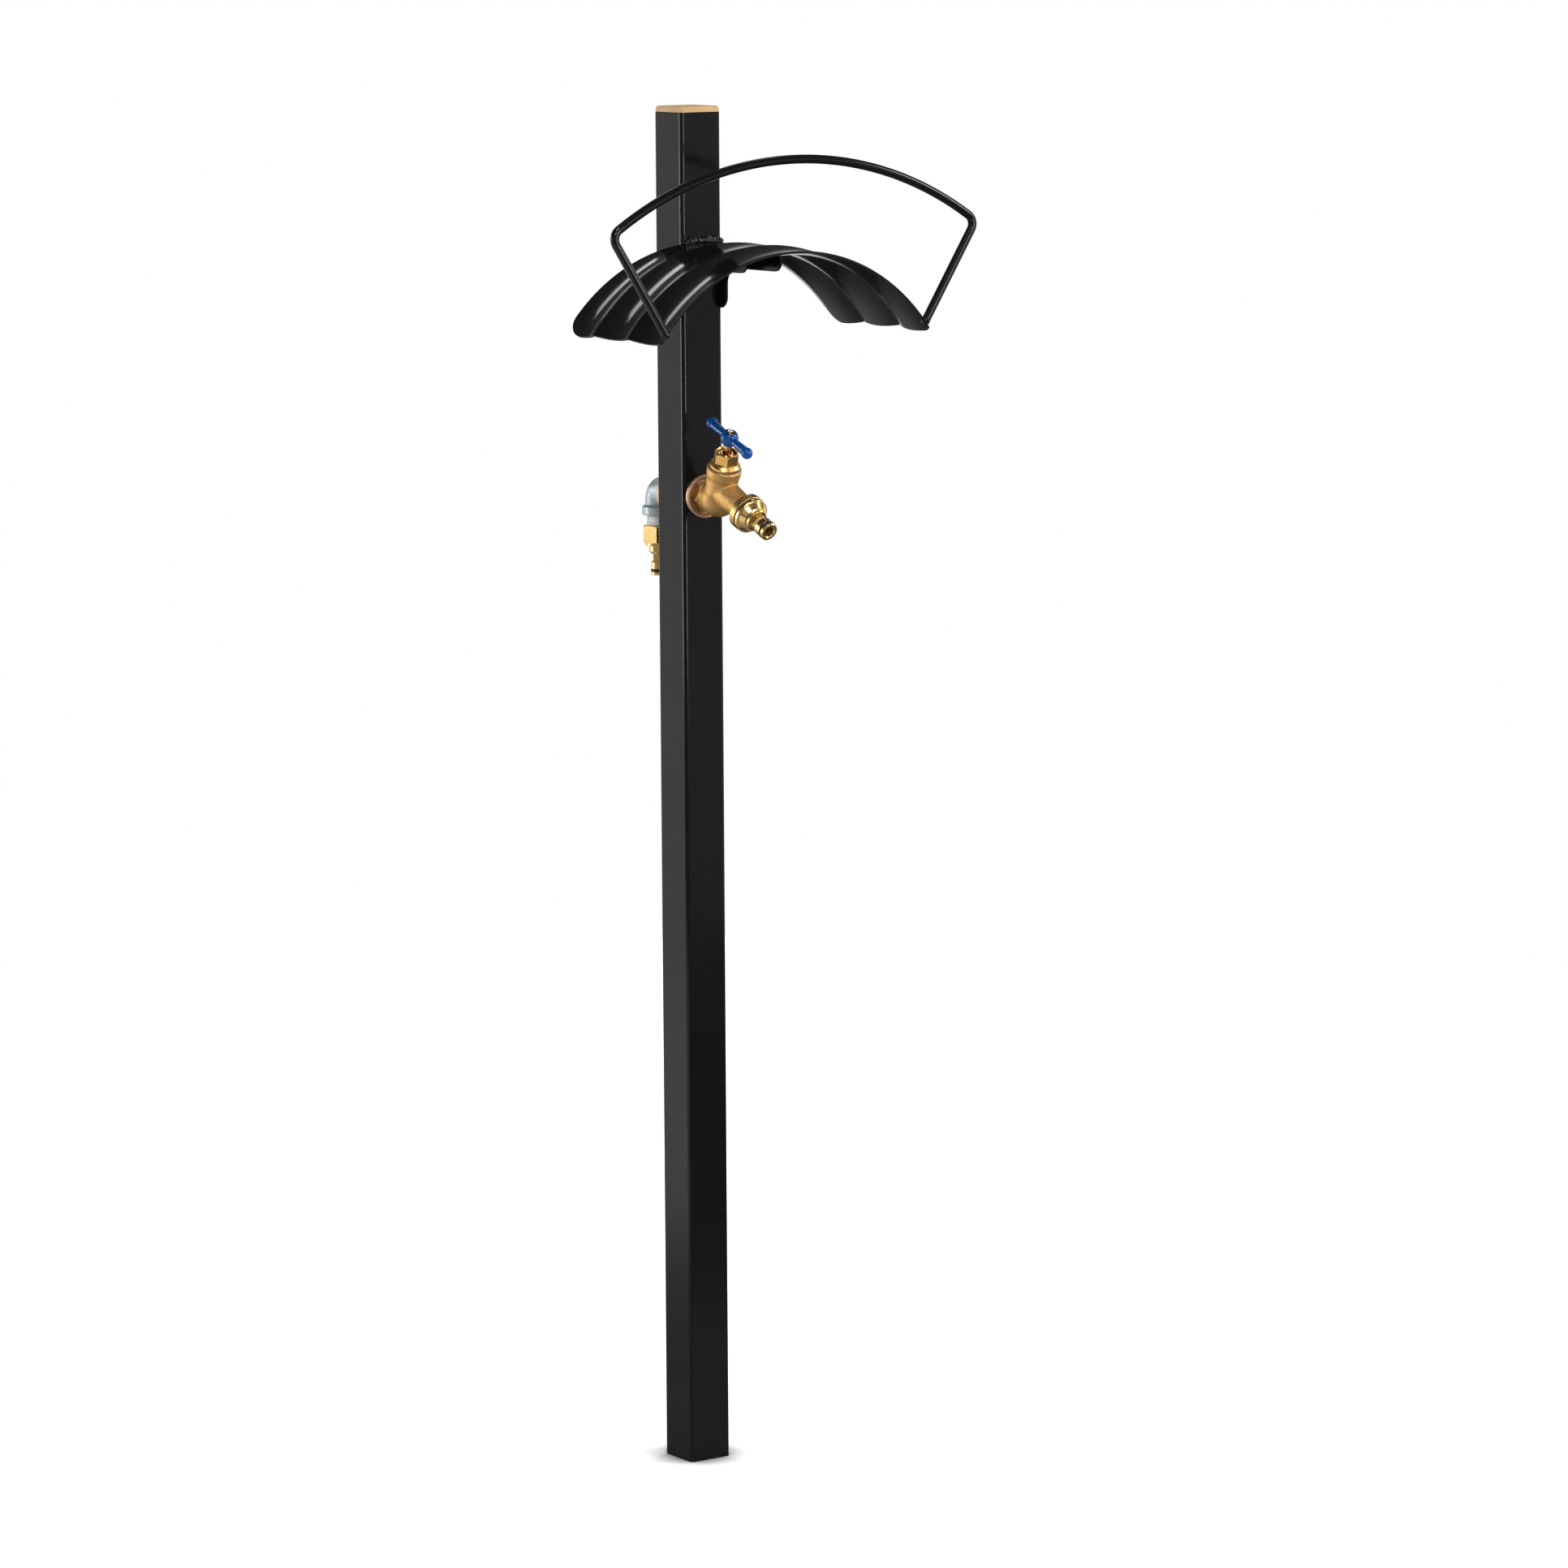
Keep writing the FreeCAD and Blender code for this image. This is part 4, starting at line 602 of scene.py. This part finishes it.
def makeScrewSteel(look):
    material, tree = newMaterial("brightScrew")
    lines = tree.noise(look["lineScale"], detail=2.0)
    colour = tree.mix(lines, look["light"], look["dark"])
    # painted shade: the screw's recesses darken nearly to black
    colour = tree.mix(tree.paintedShadeAndOxide(*look["paintedShadeAndOxide"]), colour, look["paintedShadeColour"])
    tree.surface(colour=colour, metal=1.0, rough=tree.spread(lines, *look["rough"]),
                 normal=tree.bump(lines, look["lineDepth"], tree.edges(look["edge"])))
    return material


# White sealing tape
sealingTape = {
    "light": (0.74, 0.735, 0.70),
    "dark": (0.50, 0.48, 0.44),
    "wraps": 500.0,
    "stretch": (0.3, 0.3, 3.0),
    "darkEdge": (0.4, 0.75),
    "depth": 0.00012,
    "rough": (0.35, 0.6),
    "scatter": 0.15,
    "specular": 0.4,
}


def makeTape(look):
    material, tree = newMaterial("threadTape")
    wraps = tree.noise(look["wraps"], detail=4.0, rough=0.6, at=tree.coords(look["stretch"]))
    colour = tree.mix(tree.between(wraps, *look["darkEdge"], 0.0, 1.0), look["light"], look["dark"])
    tree.surface(colour=colour, rough=tree.spread(wraps, *look["rough"]),
                 normal=tree.bump(wraps, look["depth"]), scatter=look["scatter"],
                 specular=look["specular"])
    return material


finishes = {
    "black_paint": makeBlackCoat(blackCoat),
    "tan_plastic": makeTanPlastic(tanPlastic),
    "cast_brass": makeCastSkin(castSkin),
    "flange_bronze": makeTurned("flangeBronze", brass["flangeBronze"], turning),
    "turned_brass": makeTurned("turnedBrass", brass["turnedBrass"], turning),
    "dark_brass": makeTurned("darkBrass", brass["darkBrass"], turning),
    "polished_brass": makeTurned("polishedBrass", brass["polishedBrass"], turning),
    "copper_brass": makeTurned("copperBrass", brass["copperBrass"], turning),
    "fibre": makeFibre(sealingFibre),
    "black_rubber": makeRubber(blackRubber),
    "blue_paint": makeBlueEnamel(blueEnamel),
    "bright_screw": makeScrewSteel(brightScrew),
    "galvanised_steel": makeZinc("galvanisedSteel", zinc["galvanisedSteel"], dipping),
    "galvanised_iron": makeZinc("galvanisedIron", zinc["galvanisedIron"], dipping),
    "white_tape": makeTape(sealingTape),
}
slotOf = {row["node"]: row["material_slot"] for row in frame["record"]["subparts"]}
for nodeName, slotName in slotOf.items():
    nodes[nodeName].data.materials.clear()
    nodes[nodeName].data.materials.append(finishes[slotName])
print("finishes applied")


# Mesh helpers
def addPiece(name, mesh, standsFor, body="stand"):
    piece = bpy.data.objects.new(name, mesh)
    scene.collection.objects.link(piece)
    mesh.materials.clear()
    mesh.materials.append(finishes[slotOf[standsFor]])
    mesh.shade_smooth()
    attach(piece, body)
    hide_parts(standsFor)


def frozen(mesh, voxel, rounds):
    # the mesh after a voxel remesh and that many rounds of smoothing
    holder = bpy.data.objects.new("holder", mesh)
    scene.collection.objects.link(holder)
    remesh = holder.modifiers.new("voxels", "REMESH")
    remesh.mode = "VOXEL"
    remesh.voxel_size = voxel
    smooth = holder.modifiers.new("rounds", "SMOOTH")
    smooth.factor = 0.5
    smooth.iterations = rounds
    worked = holder.evaluated_get(bpy.context.evaluated_depsgraph_get())
    result = bpy.data.meshes.new_from_object(worked)
    bpy.data.objects.remove(holder)
    return result


def roughen(mesh, scale, depth):
    # pushes along the normals by a fractal of three octaves, each twice as fine as the last
    pushes = [vertex.normal * noise.fractal(vertex.co * scale, 1.0, 2.0, 3) * depth
              for vertex in mesh.vertices]
    for vertex, push in zip(mesh.vertices, pushes):
        vertex.co += push


def softCopy(node, voxel, rounds, softness):
    # softness(point) is 1 where edges melt fully and 0 where they stay crisp
    crisp = frozen(nodes[node].data.copy(), voxel, rounds=2)
    soft = frozen(nodes[node].data.copy(), voxel, rounds)
    for sharp, melted in zip(crisp.vertices, soft.vertices):
        sharp.co = sharp.co.lerp(melted.co, softness(sharp.co))
    return crisp


def clamp(value):
    return min(max(value, 0.0), 1.0)


def eased(value):
    share = clamp(value)
    return share ** 2 * (3 - 2 * share)


# Tap casting: soft fillets between inlet, chamber and spout, crisp where it is machined
casting = {
    "crossing": (0, -0.0435, 0.83),
    "spindle": (-0.1251, -0.4384, 0.89),
    "spoutStart": (-0.0011, -0.0474, 0.8378),
    "spout": (0.061, -0.8988, -0.4341),
    "machinedTop": 0.0245,     # along the spindle
    "machinedSpout": 0.030,    # along the spout
    "hexEnd": -0.031,          # where the inlet's hexagon ends
    "blend": 0.004,
    "leastSoft": 0.12,
    "voxel": 0.0004,
    "rounds": 34,
    "skinScale": 160.0,
    "skinDepth": 0.00022,
}


def makeCasting(shape):
    crossing, spindle = Vector(shape["crossing"]), Vector(shape["spindle"])
    spoutStart, spout = Vector(shape["spoutStart"]), Vector(shape["spout"])

    def softness(point):
        up = (point - crossing).dot(spindle)
        out = (point - spoutStart).dot(spout)
        room = min(shape["machinedTop"] - up, shape["machinedSpout"] - out, shape["hexEnd"] - point.y)
        return shape["leastSoft"] + (1 - shape["leastSoft"]) * clamp(room / shape["blend"])

    mesh = softCopy("tap_body", shape["voxel"], shape["rounds"], softness)
    roughen(mesh, shape["skinScale"], shape["skinDepth"])
    addPiece("tapCasting", mesh, "tap_body")


makeCasting(casting)
print("casting made")


# Handle: hub, arms and balls flow into each other under the enamel
enamelHandle = {
    "hub": (-0.0074, -0.0694, 0.8826),
    "recess": 0.0054,          # radius round the screw that stays crisp
    "recessReach": 0.0075,     # and how far along the spindle, either way
    "recessSoft": 0.1,
    "voxel": 0.00025,
    "rounds": 12,
    "skinScale": 120.0,
    "skinDepth": 0.00005,
}


def makeHandle(shape):
    hub = Vector(shape["hub"])
    axis = Vector(casting["spindle"])

    def softness(point):
        away = point - hub
        up = away.dot(axis)
        across = (away - axis * up).length
        if across < shape["recess"] and abs(up) < shape["recessReach"]:
            return shape["recessSoft"]
        return 1.0

    mesh = softCopy("handle", shape["voxel"], shape["rounds"], softness)
    roughen(mesh, shape["skinScale"], shape["skinDepth"])
    addPiece("enamelHandle", mesh, "handle", "handle")


makeHandle(enamelHandle)
print("handle made")


# Elbow: a dipped malleable casting with runs of zinc
dippedElbow = {
    "voxel": 0.0005,
    "rounds": 8,
    "runs": 110.0,
    "runDepth": 0.0002,
    "corner": (0.046, 0.83),    # where the two bores cross, along Y and Z
    "radius": 0.013,
    "rounding": 0.0036,         # how far the outer corner draws in
    "reach": 0.027,
    "crown": 0.004,             # softens the middle of the bend
    "outsideStart": 0.4,        # share of the rounding at the bores' crossing, before it is eased
    "outsideRise": 0.6,         # what a radius further out adds to it
}


def makeElbow(shape):
    mesh = softCopy("elbow", shape["voxel"], shape["rounds"], lambda point: 1.0)
    for vertex in mesh.vertices:
        back = vertex.co.y - shape["corner"][0]
        up = vertex.co.z - shape["corner"][1]
        bend = eased(1.0 - math.hypot(back - up, shape["crown"]) / shape["reach"])
        outward = (back + up) / shape["radius"]
        outside = eased(outward * shape["outsideRise"] + shape["outsideStart"])
        push = shape["rounding"] * bend * outside / math.sqrt(2)
        vertex.co -= Vector((0, push, push))
    roughen(mesh, shape["runs"], shape["runDepth"])
    addPiece("dippedElbow", mesh, "elbow")


makeElbow(dippedElbow)
print("elbow made")


# Welds: irregular lumps laid one over the other
weldGrain = 420.0


def lumpyWeld(name, lumps, standsFor, voxel, rounds, depth):
    mass = bmesh.new()
    for centre, radii in lumps:
        made = bmesh.ops.create_icosphere(mass, subdivisions=2, radius=1.0)
        bmesh.ops.scale(mass, vec=radii, verts=made["verts"])
        bmesh.ops.translate(mass, vec=centre, verts=made["verts"])
    mesh = bpy.data.meshes.new(name)
    mass.to_mesh(mesh)
    mass.free()
    mesh = frozen(mesh, voxel, rounds)
    roughen(mesh, weldGrain, depth)
    addPiece(name, mesh, standsFor)


rodWeld = {
    "foot": (0.1297, -0.158, 0.9786),
    "core": (0.0041, 0.0043, 0.0032),
    "lumps": 20,
    "spread": (0.0034, 0.0022),    # left and right
    "reach": (0.4, 1.0),           # shares of the spread
    "rise": (-0.0012, 0.0022),
    "slope": 0.8,                  # of the arch at the rod's foot
    "size": (0.0009, 0.0018),
    "flatness": 0.8,
    "finish": (0.0003, 2, 0.0003),    # voxel, rounds of smoothing and depth of the grain
}


def makeRodWelds(weld):
    lumps = []
    for side, spread in zip((-1, 1), weld["spread"]):
        foot = Vector((side * weld["foot"][0], weld["foot"][1], weld["foot"][2]))
        lumps.append((foot, weld["core"]))
        for _ in range(weld["lumps"]):
            turn = random.uniform(0, math.tau)
            reach = random.uniform(*weld["reach"]) * spread
            rise = random.uniform(*weld["rise"])
            offset = Vector((math.cos(turn) * reach, math.sin(turn) * reach, rise))
            offset.z -= side * offset.x * weld["slope"]
            radius = random.uniform(*weld["size"])
            lumps.append((foot + offset, (radius, radius, radius * weld["flatness"])))
    lumpyWeld("rodWeldLumps", lumps, "rod_welds", *weld["finish"])


saddleWeld = {
    "half": 0.0175,
    "radius": 0.1675,
    "centre": 0.875,
    "face": -0.02,
    "start": 0.002,                 # how unevenly the passes start
    "passes": 3,
    "shrink": 0.18,                 # share that each further pass is finer by
    "lift": 0.0006,
    "passLift": 0.0016,
    "wander": (-0.0007, 0.0009),
    "standOff": 0.0012,
    "passSink": 0.0005,
    "gap": (0.0012, 0.0032),
    "size": (0.0016, 0.0033),
    "width": (0.7, 2.1),            # shares of the size
    "height": (0.6, 1.0),
    "thickness": 0.0018,
    "spatter": 14,
    "spatterSize": (0.0004, 0.0009),
    "spatterRise": (0.004, 0.0075),
    "spatterFlatness": 0.6,
    "finish": (0.0003, 3, 0.0005),
}


def makeSaddleWeld(weld):
    lumps = []

    def rim(x):
        return weld["centre"] + math.sqrt(weld["radius"] ** 2 - x * x)

    for number in range(weld["passes"]):
        x = -weld["half"] + random.uniform(0, weld["start"])
        while x < weld["half"]:
            radius = random.uniform(*weld["size"]) * (1.0 - weld["shrink"] * number)
            z = rim(x) + weld["lift"] + weld["passLift"] * number + random.uniform(*weld["wander"])
            y = weld["face"] - weld["standOff"] + weld["passSink"] * number
            wide = radius * random.uniform(*weld["width"])
            high = radius * random.uniform(*weld["height"])
            lumps.append(((x, y, z), (wide, weld["thickness"], high)))
            x += random.uniform(*weld["gap"])
    for _ in range(weld["spatter"]):
        x = random.uniform(-weld["half"], weld["half"])
        radius = random.uniform(*weld["spatterSize"])
        z = rim(x) + random.uniform(*weld["spatterRise"])
        lumps.append(((x, weld["face"], z), (radius, radius * weld["spatterFlatness"], radius)))
    lumpyWeld("saddleWeldLumps", lumps, "saddle_weld", *weld["finish"])


bracketWeld = {
    "side": 0.0186,
    "face": -0.0206,
    "low": 0.9895,
    "high": 1.0265,
    "step": 0.0013,
    "size": (0.0016, 0.0021),
    "flatness": 0.9,
    "rippleHeight": 0.0013,
    "finish": (0.00025, 1, 0.0002),
}


def makeBracketWelds(weld):
    lumps = []
    for side in (-1, 1):
        z = weld["low"]
        while z < weld["high"]:
            radius = random.uniform(*weld["size"])
            centre = (side * weld["side"], weld["face"], z)
            lumps.append((centre, (radius, radius * weld["flatness"], weld["rippleHeight"])))
            z += weld["step"]
    lumpyWeld("bracketWeldRipples", lumps, "bracket_welds", *weld["finish"])


makeRodWelds(rodWeld)
makeSaddleWeld(saddleWeld)
makeBracketWelds(bracketWeld)
print("welds laid")


# Thread tape: a sleeve of overlapping turns with ragged ends
tapeSleeve = {
    "centre": (0, 0.046),
    "bore": 0.0104,
    "boreGap": 0.00002,
    "layers": 0.00062,
    "thinnest": 0.75,          # shares of the layers
    "fold": 0.35,
    "crease": 0.35,
    "creaseAround": 5,         # scale of the creases on a circle of radius one, and per metre up it
    "creaseAlong": 900,
    "top": 0.8089,
    "bottom": 0.8005,
    "pitch": 0.0021,
    "around": 180,
    "rows": 44,
    "rag": 0.0003,
    "ragAround": 9,            # scale of the rag on the same circle
    "ragEnds": 0.1,            # share of the height that is ragged, both ends together
    "ragInside": 0.2,          # and how ragged the rest is against it
}


def makeTapeSleeve(tape):
    across, along = tape["centre"]
    height = tape["top"] - tape["bottom"]
    rings = []
    for row in range(tape["rows"] + 1):
        part = row / tape["rows"]
        ends = 1.0 - abs(2 * part - 1)
        ragged = 1.0 if ends < tape["ragEnds"] else tape["ragInside"]
        ringPoints = []
        for column in range(tape["around"]):
            turn = math.tau * column / tape["around"]
            at = Vector((math.cos(turn), math.sin(turn), 0))
            z = tape["bottom"] + height * part
            fold = ((z / tape["pitch"] + column / tape["around"]) % 1.0) * tape["fold"]
            crease = noise.noise(at * tape["creaseAround"] + Vector((0, 0, z * tape["creaseAlong"])))
            layers = tape["thinnest"] + fold + tape["crease"] * crease
            radius = tape["bore"] + tape["layers"] * layers
            z += tape["rag"] * noise.noise(at * tape["ragAround"]) * ragged
            ringPoints.append((across + at.x * radius, along + at.y * radius, z))
        rings.append(ringPoints)
    inside = tape["bore"] + tape["boreGap"]
    for z in (tape["top"], tape["bottom"]):
        turns = [math.tau * column / tape["around"] for column in range(tape["around"])]
        rings.append([(across + math.cos(turn) * inside, along + math.sin(turn) * inside, z)
                      for turn in turns])
    points = [point for ringPoints in rings for point in ringPoints]
    faces = []
    for row in range(len(rings)):
        low = row * tape["around"]
        high = (row + 1) % len(rings) * tape["around"]
        for column in range(tape["around"]):
            after = (column + 1) % tape["around"]
            faces.append((low + column, low + after, high + after, high + column))
    mesh = bpy.data.meshes.new("threadTapeTurns")
    mesh.from_pydata(points, [], faces)
    addPiece("threadTapeTurns", mesh, "thread_tape")


makeTapeSleeve(tapeSleeve)
print("tape wound")
